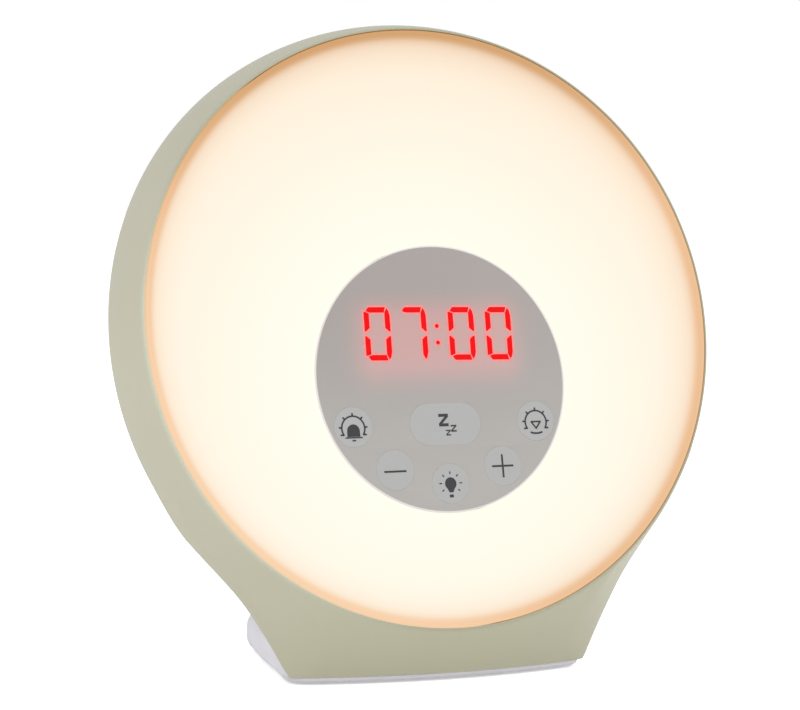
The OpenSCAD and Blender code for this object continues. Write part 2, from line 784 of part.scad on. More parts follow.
module screw(r, head_r, head_h, length) {
    difference() {
        union() {
            cylinder(r = head_r, h = head_h, $fn = 48);
            translate([0, 0, head_h - 0.01]) cylinder(r = r, h = length, $fn = 32);
        }
        for (a = [0, 90]) rotate([0, 0, a]) translate([-head_r * 0.6, -0.3, -1])
            cube([head_r * 1.2, 0.6, 1.6]);
    }
}
module door_screw() {
    color(steel) translate([door_ear_x, cell_y, feet_h + 0.05])
        screw(door_screw_r - 0.05, door_head_r, 0.42, 1.6);
}
module housing_screws() {
    color(steel) on_face() housing_posts() translate([0, 0, seat_n - screw_head_h])
        screw(screw_r - 0.05, screw_head_r, screw_head_h, 7);
}
module base_screws() {
    color(steel) for (p = base_screws_at) on_base() translate([p[0], p[1], feet_h + 0.1])
        screw(screw_r - 0.05, screw_head_r, 0.7, 6);
}
module board_screws() {
    color(steel) {
        on_lens() for (a = post_angles) rotate([0, 0, a])
            translate([post_d, 0, board_n - board_t - 1.2])
                screw(screw_r - 0.05, screw_head_r - 0.4, 1.2, 6);
        on_lens() lamp_screws() translate([0, 0, floor_n + slip + board_t + 1.2])
            mirror([0, 0, 1]) screw(screw_r - 0.05, screw_head_r - 0.4, 1.2, 1.5);
        for (side = [-1, 1]) translate([side * power_screw_x, power_screw_y,
            power_z + board_t + 1.2]) mirror([0, 0, 1])
                screw(screw_r - 0.05, screw_head_r - 0.4, 1.2, 4.5);
    }
}
module speaker_screws() {
    color(steel) on_face() speaker_holes()
        translate([0, 0, gasket_n + gasket_t + frame_t + 0.9]) mirror([0, 0, 1])
            screw(speaker_screw_r, 1.2, 0.9, frame_t + gasket_t + speaker_screw_l);
}
module rubber_feet() {
    color([0.25, 0.25, 0.26]) for (p = feet_at) on_base() translate([p[0], p[1], 0])
        cylinder(r = feet_r, h = feet_h, $fn = 48);
}

// leads: a tube swept along points that lie in one plane of constant x
function along(p, i) = let (a = p[max(i - 1, 0)], b = p[min(i + 1, len(p) - 1)])
    (b - a) / norm(b - a);
module lead(x, p, r) {
    sides = 8;
    rings = [for (i = [0:len(p) - 1]) let (t = along(p, i))
        for (j = [0:sides - 1]) let (a = 360 * j / sides)
            [x + r * cos(a), p[i][0] - t[1] * r * sin(a), p[i][1] + t[0] * r * sin(a)]];
    last = len(p) - 1;
    polyhedron(points = rings, faces = concat(
        [[for (j = [0:sides - 1]) j]],
        [for (i = [0:last - 1], j = [0:sides - 1])
            [i * sides + j, (i + 1) * sides + j, (i + 1) * sides + (j + 1) % sides,
                i * sides + (j + 1) % sides]],
        [[for (j = [sides - 1:-1:0]) last * sides + j]]), convexity = 6);
}
function bezier(a, b, c, d, n) = [for (i = [0:n]) let (t = i / n, s = 1 - t)
    s * s * s * a + 3 * s * s * t * b + 3 * s * t * t * c + t * t * t * d];
// a point on the face's frame as world y and z
function face_point(u, n) = [disc_y + u * sin(tilt) - n * cos(tilt),
    disc_z + u * cos(tilt) + n * sin(tilt)];
lead_r = 1.1;
lead_pitch = 6;         // between the sockets on the power board
socket_w = 4.4;
socket_l = 5;
socket_h = 4;
socket_inset = 4;       // from the front edge of the power board
socket_drop = 24;       // of the control board's socket below the lens's centre
lead_start = [power_back - power_l + socket_inset, power_z + board_t + socket_h];
lead_rise = [0, 14];
control_end = face_point(-lens_drop - socket_drop, chips_n - socket_h);
lamp_end = face_point(-lens_drop - hub_r + 9, floor_n - panel_t - socket_h + 1.4);
speaker_end = face_point(-magnet_r + 2, gasket_n + gasket_t + basket_h + magnet_h + 0.2);
face_back = [cos(tilt), -sin(tilt)];
module control_lead() {
    color([0.15, 0.15, 0.16]) lead(-lead_pitch, bezier(lead_start, lead_start + lead_rise,
        control_end + 12 * face_back, control_end, 14), lead_r);
}
module lamp_lead() {
    color([0.7, 0.1, 0.1]) lead(lead_pitch, bezier(lead_start, lead_start + lead_rise,
        lamp_end + 6 * face_back, lamp_end, 12), lead_r);
}
module speaker_lead() {
    color([0.15, 0.15, 0.16]) lead(0, bezier(lead_start, lead_start + 2 * lead_rise,
        speaker_end - 14 * face_back - [0, 6], speaker_end - 1 * face_back, 14), lead_r * 0.8);
}
module lead_sockets() {
    color([0.93, 0.91, 0.85]) {
        for (i = [-1:1]) translate([i * lead_pitch - socket_w / 2, lead_start[0] - socket_l / 2,
            power_z + board_t]) cube([socket_w, socket_l, socket_h]);
        on_lens() translate([-lead_pitch - socket_l / 2, -socket_drop - socket_l / 2,
            chips_n - socket_h]) cube([socket_l, socket_l, socket_h]);
    }
}

front_housing();
rear_cover();
base_plate();
diffuser();
display_lens();
display_hub();
reflector();
lamp_board();
lamp_leds();
control_board();
display_module();
digit_segments();
for (k = keys) key(k);
for (k = keys) plunger(k);
switch_bodies();
control_chips();
capacitors();
speaker_frame();
speaker_magnet();
speaker_cone();
speaker_gasket();
power_board();
inlet_body();
inlet_pin();
cell_holder();
coin_cell();
cell_contacts();
battery_door();
door_screw();
housing_screws();
base_screws();
board_screws();
speaker_screws();
rubber_feet();
control_lead();
lamp_lead();
speaker_lead();
lead_sockets();
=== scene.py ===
import json
import math
import bmesh
import bpy
import numpy as np
from mathutils import Matrix, Vector


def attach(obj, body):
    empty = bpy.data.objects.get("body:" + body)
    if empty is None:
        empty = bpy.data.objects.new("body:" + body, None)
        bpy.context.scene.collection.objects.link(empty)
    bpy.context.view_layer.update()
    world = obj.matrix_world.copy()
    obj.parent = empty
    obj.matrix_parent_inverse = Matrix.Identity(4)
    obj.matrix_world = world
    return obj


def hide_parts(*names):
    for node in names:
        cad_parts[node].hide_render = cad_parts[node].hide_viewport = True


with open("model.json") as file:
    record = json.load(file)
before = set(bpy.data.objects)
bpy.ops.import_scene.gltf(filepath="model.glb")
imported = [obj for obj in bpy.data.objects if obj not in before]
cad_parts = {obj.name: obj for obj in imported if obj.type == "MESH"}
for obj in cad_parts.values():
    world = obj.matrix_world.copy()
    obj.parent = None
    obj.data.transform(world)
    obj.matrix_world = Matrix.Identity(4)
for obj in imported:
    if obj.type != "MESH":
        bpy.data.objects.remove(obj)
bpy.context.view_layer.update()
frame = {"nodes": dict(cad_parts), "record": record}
print("frame loaded")

mm = 0.001
face = {
    "tilt": math.radians(12.9),      # lean of the face
    "centre": (0.0, -29.05, 92.7),   # centre of the disc, above the table
    "lensDrop": 14.5,                # lens below the disc's centre
    "lensRadius": 35.4,
    "diffuserRadius": 79.6,
    "groundGap": 2.2,                # underside of the front shell above the table
}
tiltSin, tiltCos = math.sin(face["tilt"]), math.cos(face["tilt"])
farAway = 400.0   # in mm, beyond any part of the clock


def fromFace(x, up, out):
    # mm on the leaning face, counted from the disc's centre, to metres in the world
    cx, cy, cz = face["centre"]
    x, up, out = np.broadcast_arrays(x, up, out)
    return np.stack([cx + x, cy + up * tiltSin - out * tiltCos,
                     cz + up * tiltCos + out * tiltSin], -1) * mm


def toFace(y, z):
    # world mm to the face's own up and out
    dy, dz = y - face["centre"][1], z - face["centre"][2]
    return dy * tiltSin + dz * tiltCos, -dy * tiltCos + dz * tiltSin


def addObject(name, data):
    made = bpy.data.objects.new(name, data)
    bpy.context.scene.collection.objects.link(made)
    return made


def finalMesh(piece):   # with its modifiers or bevel in the mesh
    return bpy.data.meshes.new_from_object(
        piece.evaluated_get(bpy.context.evaluated_depsgraph_get()))


def newPiece(name, points, faces, smooth=True):
    # a mesh from points in metres and faces by their points' numbers
    mesh = bpy.data.meshes.new(name)
    mesh.from_pydata(np.asarray(points, float).reshape(-1, 3).tolist(), [], faces)
    mesh.validate()
    mesh.polygons.foreach_set("use_smooth", [smooth] * len(mesh.polygons))
    return addObject(name, mesh)


def gridFaces(rows, columns, closeRows=False, closeColumns=False):
    # quads between a grid's neighbouring points, wrapped round where it closes
    i = np.arange(rows if closeRows else rows - 1)
    j = np.arange(columns if closeColumns else columns - 1)
    i, j = np.meshgrid(i, j, indexing="ij")
    iNext, jNext = (i + 1) % rows, (j + 1) % columns
    quads = np.stack([i * columns + j, i * columns + jNext,
                      iNext * columns + jNext, iNext * columns + j], -1)
    return quads.reshape(-1, 4).tolist()


def prism(low, high):
    # closed shape between two loops with as many points each, as points and faces
    count = len(low)
    return np.concatenate([low, high]), gridFaces(2, count, closeColumns=True) + [
        list(range(count))[::-1], list(range(count, 2 * count))]


def joinShapes(shapes):
    # points and faces of several shapes as one
    faces, first = [], 0
    for points, sides in shapes:
        faces += [[i + first for i in side] for side in sides]
        first += len(points)
    return np.concatenate([points for points, _ in shapes]), faces


def tidyMesh(piece, merge=0.00001, sharpAngle=None):
    # merges doubles, drops empty faces and turns every face outwards
    bm = bmesh.new()
    bm.from_mesh(piece.data)
    bmesh.ops.remove_doubles(bm, verts=bm.verts, dist=merge)
    bmesh.ops.dissolve_degenerate(bm, edges=bm.edges, dist=merge)
    bmesh.ops.recalc_face_normals(bm, faces=bm.faces)
    if sharpAngle:
        limit = math.radians(sharpAngle)
        for edge in bm.edges:
            edge.smooth = len(edge.link_faces) == 2 and edge.calc_face_angle(0) < limit
    bm.to_mesh(piece.data)
    bm.free()
    return piece


finishes = {}   # by material slot


def finishPiece(piece, slot, finish=None, body="clock", replaced=()):
    # one finish all over, and what the piece stands in for and rides on
    piece.data.materials.clear()
    piece.data.materials.append(finishes[finish or slot])
    if replaced:
        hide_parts(*replaced)
    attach(piece, body)


# camera: at the photograph's angle, matched to the disc's outline, keys and base corners
photoCamera = {
    "fromDisc": (-345.7, -795.4, 46.7),   # mm from the disc's centre
    "azimuth": math.radians(22.89),
    "down": math.radians(3.61),
    "focalPixels": 3306.0,
    "imageWidth": 800.0,
    "sensor": 36.0,
    "clipStart": 0.05,
}


def makeCamera():
    # its axes from two angles: round the clock, and down at it
    p = photoCamera
    data = bpy.data.cameras.new("photoCamera")
    data.sensor_fit, data.sensor_width = "HORIZONTAL", p["sensor"]
    data.lens = p["focalPixels"] / p["imageWidth"] * p["sensor"]
    data.clip_start = p["clipStart"]
    camera = addObject("photoCamera", data)
    a, e = p["azimuth"], p["down"]
    ahead = Vector((math.sin(a) * math.cos(e), math.cos(a) * math.cos(e), -math.sin(e)))
    right = Vector((math.cos(a), -math.sin(a), 0.0))
    upward = right.cross(ahead)
    place = (Vector(face["centre"]) + Vector(p["fromDisc"])) * mm
    axes = Matrix((right, upward, -ahead)).transposed()
    camera.matrix_world = Matrix.Translation(place) @ axes.to_4x4()
    bpy.context.scene.camera = camera


makeCamera()


# materials
def srgb(r, g, b):   # screen colour, 0 to 255, to the linear one that shaders use
    c = np.array([r, g, b]) / 255.0
    return (*np.where(c <= 0.04045, c / 12.92, ((c + 0.055) / 1.055) ** 2.4), 1.0)


class nodeKit:   # short calls for the nodes of one material or group
    def __init__(self, tree):
        self.tree = tree

    def add(self, kind, inputs=None, **settings):
        node = self.tree.nodes.new(kind)
        for key, value in settings.items():
            setattr(node, key, value)
        for key, value in (inputs or {}).items():
            self.put(node.inputs[key], value)
        return node

    def put(self, socket, value):
        if isinstance(value, bpy.types.NodeSocket):
            self.tree.links.new(value, socket)
        else:
            socket.default_value = value

    def math(self, operation, a, b=0.0, clamp=False):
        node = self.add("ShaderNodeMath", {0: a, 1: b}, operation=operation)
        node.use_clamp = clamp
        return node.outputs[0]

    def mapRange(self, value, low, high, toLow=0.0, toHigh=1.0, smooth=False):
        node = self.add("ShaderNodeMapRange", {"Value": value, "From Min": low, "From Max": high,
                                               "To Min": toLow, "To Max": toHigh})
        if smooth:
            node.interpolation_type = "SMOOTHSTEP"
        return node.outputs["Result"]

    def mix(self, share, a, b):
        node = self.add("ShaderNodeMix", data_type="RGBA")
        self.put(node.inputs[0], share)
        self.put(node.inputs[6], a)
        self.put(node.inputs[7], b)
        return node.outputs[2]

    def root(self, a, b):
        return self.math("SQRT", self.math("ADD", self.math("MULTIPLY", a, a),
                                           self.math("MULTIPLY", b, b)))

    def place(self):
        return self.add("ShaderNodeTexCoord").outputs["Object"]

    def ramp(self, value, stops):
        node = self.add("ShaderNodeValToRGB", {"Fac": value})
        elements = node.color_ramp.elements
        while len(elements) > 1:
            elements.remove(elements[-1])
        elements[0].position, elements[0].color = stops[0]
        for position, colour in stops[1:]:
            elements.new(position).color = colour
        return node.outputs["Color"]


black = (0.0, 0.0, 0.0, 1.0)


def newMaterial(name, values):
    # one shader with these inputs, joined to its output
    material = bpy.data.materials.new(name)
    material.use_nodes = True
    material.node_tree.nodes.clear()
    kit = nodeKit(material.node_tree)
    output = kit.add("ShaderNodeOutputMaterial")
    shader = kit.add("ShaderNodeBsdfPrincipled", values)
    material.node_tree.links.new(shader.outputs[0], output.inputs[0])
    return material, kit, shader


def newGroup(name, outputs, inputs):
    # a node group with its sockets by name: one that starts as black holds a colour
    group = bpy.data.node_groups.new(name, "ShaderNodeTree")
    for side, sockets in (("INPUT", inputs), ("OUTPUT", outputs)):
        for label, start in sockets.items():
            kind = "NodeSocketColor" if start is black else "NodeSocketFloat"
            socket = group.interface.new_socket(name=label, in_out=side, socket_type=kind)
            socket.default_value = start
    kit = nodeKit(group)
    return group, kit, kit.add("NodeGroupOutput")


def makeGrainGroup():
    # moulded surface: fine spark grain in the height, slow clouds in colour and roughness
    group, kit, out = newGroup(
        "mouldedGrain", {"Color": black, "Roughness": 0.0, "Height": 0.0},
        {"Color": black, "Grain Size": 1400.0, "Cloud Size": 28.0, "Roughness": 0.5,
         "Roughness Spread": 0.06, "Shade Spread": 0.02})
    given = kit.add("NodeGroupInput")
    place = kit.place()
    fine = kit.add("ShaderNodeTexNoise", {"Vector": place, "Scale": given.outputs["Grain Size"],
                                          "Detail": 2.0, "Roughness": 0.6})
    cloud = kit.add("ShaderNodeTexNoise", {"Vector": place, "Scale": given.outputs["Cloud Size"],
                                           "Detail": 4.0, "Roughness": 0.55})
    centred = kit.math("SUBTRACT", cloud.outputs["Fac"], 0.5)
    kit.put(out.inputs["Height"], fine.outputs["Fac"])
    kit.put(out.inputs["Roughness"], kit.math(
        "ADD", given.outputs["Roughness"],
        kit.math("MULTIPLY", centred, given.outputs["Roughness Spread"]), clamp=True))
    shade = kit.math("ADD", kit.math("MULTIPLY", centred, given.outputs["Shade Spread"]), 1.0)
    shaded = kit.add("ShaderNodeVectorMath", {0: given.outputs["Color"]}, operation="SCALE")
    kit.put(shaded.inputs["Scale"], shade)
    kit.put(out.inputs["Color"], shaded.outputs[0])
    return group


grainGroup = makeGrainGroup()


def addGrain(kit, shader, colour, **values):
    # the colour passes through the grain on its way to the shader
    grain = kit.add("ShaderNodeGroup", node_tree=grainGroup)
    kit.put(grain.inputs["Color"], colour)
    for key, value in values.items():
        grain.inputs[key.replace("_", " ").title()].default_value = value
    kit.put(shader.inputs["Base Color"], grain.outputs["Color"])
    kit.put(shader.inputs["Roughness"], grain.outputs["Roughness"])
    return grain


def faceCoordinates(kit):
    # object coordinates turned into the face's own: x, up and out, in mm
    cx, cy, cz = face["centre"]
    turned = (-cx, -(cy * tiltSin + cz * tiltCos), -(-cy * tiltCos + cz * tiltSin))
    mapping = kit.add("ShaderNodeMapping", {
        "Vector": kit.place(), "Scale": (1000.0, 1000.0, 1000.0), "Location": turned,
        "Rotation": (face["tilt"] - math.pi / 2, 0.0, 0.0)})
    return tuple(kit.add("ShaderNodeSeparateXYZ", {0: mapping.outputs[0]}).outputs)


def distanceTo(kit, x, up, atX, atUp):
    # root of the two squares' sum, on the face
    return kit.root(kit.math("SUBTRACT", x, atX), kit.math("SUBTRACT", up, atUp))


paintedShadeTop = 0.18   # height in m at which the painted shade by height ends
lip = {   # where the lip beside the lamp takes painted lamp light and painted shade, in mm on the face
    "outside": 1.5, "inside": 0.3,            # beyond the diffuser's edge
    "behind": -1.8, "ahead": -0.1,            # along the normal
    "acrossFrom": -10.0, "acrossTo": -55.0,   # painted lamp light is palest to the left of this
    "upFrom": 45.0, "upTo": 5.0,              # and below this
}


def makeMoulded(name, colour, roughness=0.5, grainDepth=0.00001, bumpStrength=0.1,
                grainSize=1400.0, cloudSize=28.0, shadeSpread=0.04, specular=0.4,
                metallic=0.0, coat=0.0, paintedShadeByHeight=(), lipPaintedLightAndShade=()):
    # one colour, or painted shade by height and painted lamp light and shade on the lip, then grain
    # and its bump
    material, kit, shader = newMaterial(name, {
        "Specular IOR Level": specular, "Metallic": metallic, "Coat Weight": coat})
    if paintedShadeByHeight:   # painted shade that changes with the height above the table
        height = kit.add("ShaderNodeSeparateXYZ", {0: kit.place()}).outputs[2]
        colour = kit.ramp(kit.mapRange(height, 0.0, paintedShadeTop), paintedShadeByHeight)
    if lipPaintedLightAndShade:   # painted lamp light pales the lip on the left beside the lamp, and painted shade darkens it elsewhere
        x, up, out = faceCoordinates(kit)
        edge = face["diffuserRadius"]
        near = kit.mapRange(distanceTo(kit, x, up, 0.0, 0.0), edge + lip["outside"],
                            edge + lip["inside"], smooth=True)
        ahead = kit.mapRange(out, lip["behind"], lip["ahead"])
        left = kit.math("MULTIPLY", kit.mapRange(x, lip["acrossFrom"], lip["acrossTo"]),
                        kit.mapRange(up, lip["upFrom"], lip["upTo"]))
        colour = kit.mix(kit.math("MULTIPLY", near, ahead), colour,
                         kit.mix(left, lipPaintedLightAndShade[1], lipPaintedLightAndShade[0]))
    grain = addGrain(kit, shader, colour, grain_size=grainSize, cloud_size=cloudSize,
                     roughness=roughness, shade_spread=shadeSpread)
    bump = kit.add("ShaderNodeBump", {"Strength": bumpStrength, "Distance": grainDepth,
                                      "Height": grain.outputs["Height"]})
    kit.put(shader.inputs["Normal"], bump.outputs[0])
    return material


finishes.update({
    "sage_plastic": makeMoulded(
        "sagePlastic", srgb(185, 182, 162), shadeSpread=0.03,
        # painted shade: darker near the table and towards the top
        paintedShadeByHeight=[(0.0, srgb(177, 175, 152)), (0.2, srgb(185, 182, 161)),
                (0.45, srgb(186, 183, 163)), (0.7, srgb(182, 179, 160)),
                (1.0, srgb(168, 166, 146))],
        # painted lamp light on the lip's left, then painted shade for the rest of the lip
        lipPaintedLightAndShade=(srgb(194, 198, 178), srgb(166, 165, 142))),
    "white_plastic": makeMoulded("whitePlastic", srgb(211, 209, 214), 0.46, shadeSpread=0.025),
    "dark_plastic": makeMoulded("darkPlastic", srgb(46, 46, 48), 0.55),
    "reflector_white": makeMoulded("reflectorWhite", srgb(240, 240, 236), 0.7),
    "led_phosphor": makeMoulded("ledPhosphor", srgb(246, 224, 120), 0.4, grainSize=4000.0),
    "board_green": makeMoulded("boardGreen", srgb(26, 84, 48), 0.3, coat=0.3),
    "capacitor_sleeve": makeMoulded("capacitorSleeve", srgb(34, 40, 66), 0.3),
    "steel": makeMoulded("platedSteel", srgb(190, 192, 196), 0.32, metallic=1.0,
                         grainSize=2600.0),
    "ferrite": makeMoulded("ferrite", srgb(62, 62, 66), 0.75, grainSize=2200.0),
    "speaker_paper": makeMoulded("speakerPaper", srgb(38, 37, 36), 0.9, grainSize=900.0,
                                 bumpStrength=0.5),
    "rubber_black": makeMoulded("rubberBlack", srgb(52, 52, 54), 0.8, grainSize=1100.0),
    "brass_contact": makeMoulded("contactBrass", srgb(214, 180, 104), 0.3, metallic=1.0),
    "lead_dark": makeMoulded("leadDark", srgb(36, 36, 38)),
    "lead_red": makeMoulded("leadRed", srgb(170, 28, 26)),
    "socket_nylon": makeMoulded("socketNylon", srgb(232, 226, 208)),
})
print("camera and finishes made")

# front housing: a swelling ring with a flared neck and foot, as one smooth shell
shell = {
    "depth": 17.3,            # along the face's axis
    "lipRadius": 80.2,
    "lipWidth": 0.4,
    "bulge": 3.9,             # swell of the side beyond the lip
    "neckRadius": 150.0,      # hollow curve from the ring to the foot
    "neckAngle": 39.9,        # where that curve leaves the ring, below the level, in degrees
    "baseWidth": 85.6,
    "flare": 47.7,            # lean of the foot's front, in degrees
    "neckSwell": 24.2,        # radius of the swell of the neck's sides
    "frontBlend": 3.0,        # softness between the foot's front and its sides, at the seam
    "middleBlend": 10.0,      # the same halfway to the front
    "ringBlend": 4.0,         # softness between the ring and the neck, at the seam
    "lipRound": 0.12, "roundShare": (0.3, 0.2),
    "wall": 2.4,
    "skirt": 6.0,             # depth of the ledge that carries the diffuser
    "ledge": 5.5, "ledgeThickness": 1.5,
    "recessRadius": 78.8, "recess": (9.0, 11.0),   # inner wall behind the ledge, by depth
    "reachTrim": 0.12, "coneInset": 0.15,
    "fineStep": 0.25, "coarseStep": 1.0, "fineSpan": (-144, -36),   # columns, in degrees
    "sideRows": 44, "underRows": 9, "rowPacking": 1.15, "sharp": 38,
}


def softMin(a, b, k):
    # the lesser of two, rounded where they are within k of each other
    h = np.maximum(k - np.abs(a - b), 0) / np.maximum(k, 1e-6)
    return np.minimum(a, b) - h * h * k / 4


def sideRadius(angle, depth):
    # from the disc's axis to the side: the ring is an arc in section, a flank the same
    # arc swung round the centre of the neck's curve, and the foot's front a cone
    s = shell
    rimRadius = s["lipRadius"] + s["bulge"]
    arc = (s["depth"] ** 2 + s["bulge"] ** 2) / (2 * s["bulge"])
    ahead = s["depth"] - depth
    ring = rimRadius - arc + np.sqrt(arc ** 2 - ahead ** 2)
    flankCurve = s["neckRadius"] + s["neckSwell"] - np.sqrt(s["neckSwell"] ** 2 - ahead ** 2)
    reach = rimRadius + s["neckRadius"] - s["reachTrim"]
    turn = np.arctan2(np.sin(angle), np.abs(np.cos(angle))) + math.radians(s["neckAngle"])
    inside = flankCurve ** 2 - (reach * np.sin(turn)) ** 2
    flank = np.where(inside > 0, reach * np.cos(turn) - np.sqrt(np.maximum(inside, 0)), farAway)
    cone = s["lipRadius"] - s["coneInset"] + depth * math.tan(math.radians(s["flare"]))
    share = depth / s["depth"]
    foot = softMin(flank, cone, (s["frontBlend"] + 4 * s["middleBlend"] * (1 - share)) * share)
    beyond = np.where(turn < 0, foot - ring, -np.abs(foot - ring))
    return ring - softMin(np.zeros_like(beyond), -beyond, s["ringBlend"] * share)


def underRadius(angle, depth):
    # from the disc's axis to the flat underside
    drop = face["centre"][2] - face["groundGap"] - depth * tiltSin
    down = -np.sin(angle)
    return np.where(down > 0.05, drop / (tiltCos * np.maximum(down, 0.05)), farAway)


def joinRows(rows, like):
    # rows of a grid, each a number, a line or a block, as one array per coordinate
    full = [np.broadcast_arrays(*np.atleast_2d(*row, like))[:-1] for row in rows]
    return [np.concatenate(axis) for axis in zip(*full)]


def makeShell():
    # columns by angle round the disc, and rows by depth: over the lip, down the side to
    # the underside, along that to the seam, and back inside to the ledge
    s = shell
    cornerUp = -(face["centre"][2] - face["groundGap"] - s["depth"] * tiltSin)
    corner = math.atan2(cornerUp / tiltCos, s["baseWidth"] / 2)
    start, end = s["fineSpan"]   # the foot and the neck
    fine = np.radians(np.arange(start, end, s["fineStep"]))
    coarse = np.radians(np.arange(end, start + 360, s["coarseStep"]))
    angle = np.unique(np.round(np.concatenate([fine, coarse, [corner, -math.pi - corner]]), 7))
    # depth at which each column meets the underside, by halving
    low, high = np.zeros_like(angle), np.full_like(angle, s["depth"])
    for _ in range(40):
        middle = (low + high) / 2
        under = sideRadius(angle, middle) < underRadius(angle, middle)
        low, high = np.where(under, middle, low), np.where(under, high, middle)
    meet = high
    sideRows = np.linspace(0, 1, s["sideRows"]) ** s["rowPacking"]
    depths = s["lipRound"] + sideRows[:, None] * (meet - s["lipRound"])
    underRows = np.linspace(0, 1, s["underRows"])[1:, None]
    under = meet + underRows * (s["depth"] - meet)
    side, floor = (np.minimum(sideRadius(angle, d), underRadius(angle, d))
                   for d in (depths, under))
    lipOuter, lipInner, r = s["lipRadius"], s["lipRadius"] - s["lipWidth"], s["lipRound"]
    ledge, (inward, outward) = face["diffuserRadius"] - s["ledge"], s["roundShare"]
    radius, depth = joinRows([
        (lipInner, r), (lipInner + r * inward, r * inward), (lipInner + r, 0.0),
        (lipOuter - r, 0.0), (lipOuter - r * outward, r * inward),
        (side, depths), (floor, under),
        (floor[-1] - s["wall"], s["depth"]), (s["recessRadius"], s["recess"][1]),
        (s["recessRadius"], s["recess"][0]), (ledge, s["skirt"] + s["ledgeThickness"]),
        (ledge, s["skirt"]), (lipInner, s["skirt"])], angle)
    piece = newPiece("frontShell", fromFace(radius * np.cos(angle), radius * np.sin(angle), -depth),
                     gridFaces(*radius.shape, closeRows=True, closeColumns=True))
    tidyMesh(piece, sharpAngle=s["sharp"])
    finishPiece(piece, "sage_plastic", replaced=["front_housing"])


makeShell()
print("front shell made")


# rear cover: a shallow dome, a stem and a foot that run into one another softly
rear = {
    "domeRadius": 83.0, "domeDepth": 36.0, "band": 1.5, "edgeRound": 1.6,
    "rimTuck": 0.6, "tuckFrom": 4.0, "tuckOver": 3.0,   # its rim sits inside the front, by z
    "stemStart": -31.0, "stemEnd": 29.0,     # in world y
    "stemHalf": 21.0, "stemTop": 26.2, "stemEndRound": 18.0, "stemRound": 6.0,
    "stemSink": 0.9, "stemSlope": 0.9, "neckShare": 0.9,
    "neckHalf": 60.5, "neckTop": 39.0, "neckInset": 1.1, "neckMargin": 1.0,
    "neckRelease": 60.0, "plateDepth": 2.2,
    "footTop": 12.0, "footHalf": 38.8, "footHalfWidth": 42.2, "footCorner": 25.5,
    "footTaper": 9.6, "footBack": 76.0, "footTopRound": 5.5, "sideSwell": 0.9,
    "underside": 0.6, "lowRound": 3.4, "frontRound": 0.7,   # base plate's lower edge
    "roundFrom": -34.0, "roundOver": 22.0,   # from one to the other, in world y
    "frontCorner": 4.5, "baseInset": 0.4,
    "blend": 9.0, "footBlend": 7.2, "plateBlend": 1.0,
    "grilleRadius": 0.9, "grillePitch": 3.4, "grilleRings": 4, "grilleDepth": (5.0, 12.0),
    "screwRadius": 2.8, "screwPlace": 78.0, "screwSeat": 19.7,
    "screwAngles": [48, 132, 218, 322],
    "inletRadius": 4.0, "inletHeight": 15.5, "inletFace": 25.0, "drillLength": 30.0,
    "step": 0.9, "low": (-85.5, -35.0, 0.8), "high": (85.5, 49.5, 171.0),   # its grid
    "baseStep": 0.5, "baseLow": (-43.2, -49.0, 0.1), "baseHigh": (43.2, 48.0, 3.0),
}


def roundedMax(a, b, r):
    # where two solids overlap, with their common edge rounded by r
    a, b = a + r, b + r
    return np.minimum(np.maximum(a, b), 0) + np.hypot(np.maximum(a, 0), np.maximum(b, 0)) - r


def footPlan(x, y):
    # distance to the foot's outline on the table: straight sides that lean in, then a round
    r = rear
    qx = np.abs(x) - (r["footHalfWidth"] - r["footCorner"] - r["footTaper"])
    qy = y - face["centre"][1] - (r["footBack"] - r["footCorner"])
    run, inward = r["footBack"] - r["footCorner"], r["footCorner"] + r["footTaper"]
    lean = math.atan2(inward, run) - math.asin(r["footCorner"] / math.hypot(run, inward))
    side = np.hypot(qx, qy)
    along = np.clip((y - face["centre"][1]) / run, 0, 1)
    straight = (qx * math.cos(lean) + qy * math.sin(lean)
                - 4 * r["sideSwell"] * along * (1 - along))
    side = np.where(np.arctan2(qy, qx) > lean, side, straight)
    plan = np.where(qx < 0, np.maximum(qy, qx), side) - r["footCorner"]
    return np.where(y < face["centre"][1], np.abs(x) - r["footHalfWidth"], plan)


def lowEdge(plan, y, z):
    # the rounded lower edge, small below the front shell and fuller at the back
    r = rear
    back = np.clip((y - r["roundFrom"]) / r["roundOver"], 0, 1)
    radius = r["frontRound"] + (r["lowRound"] - r["frontRound"]) * back * back * (3 - 2 * back)
    return roundedMax(plan, r["underside"] - z, radius)


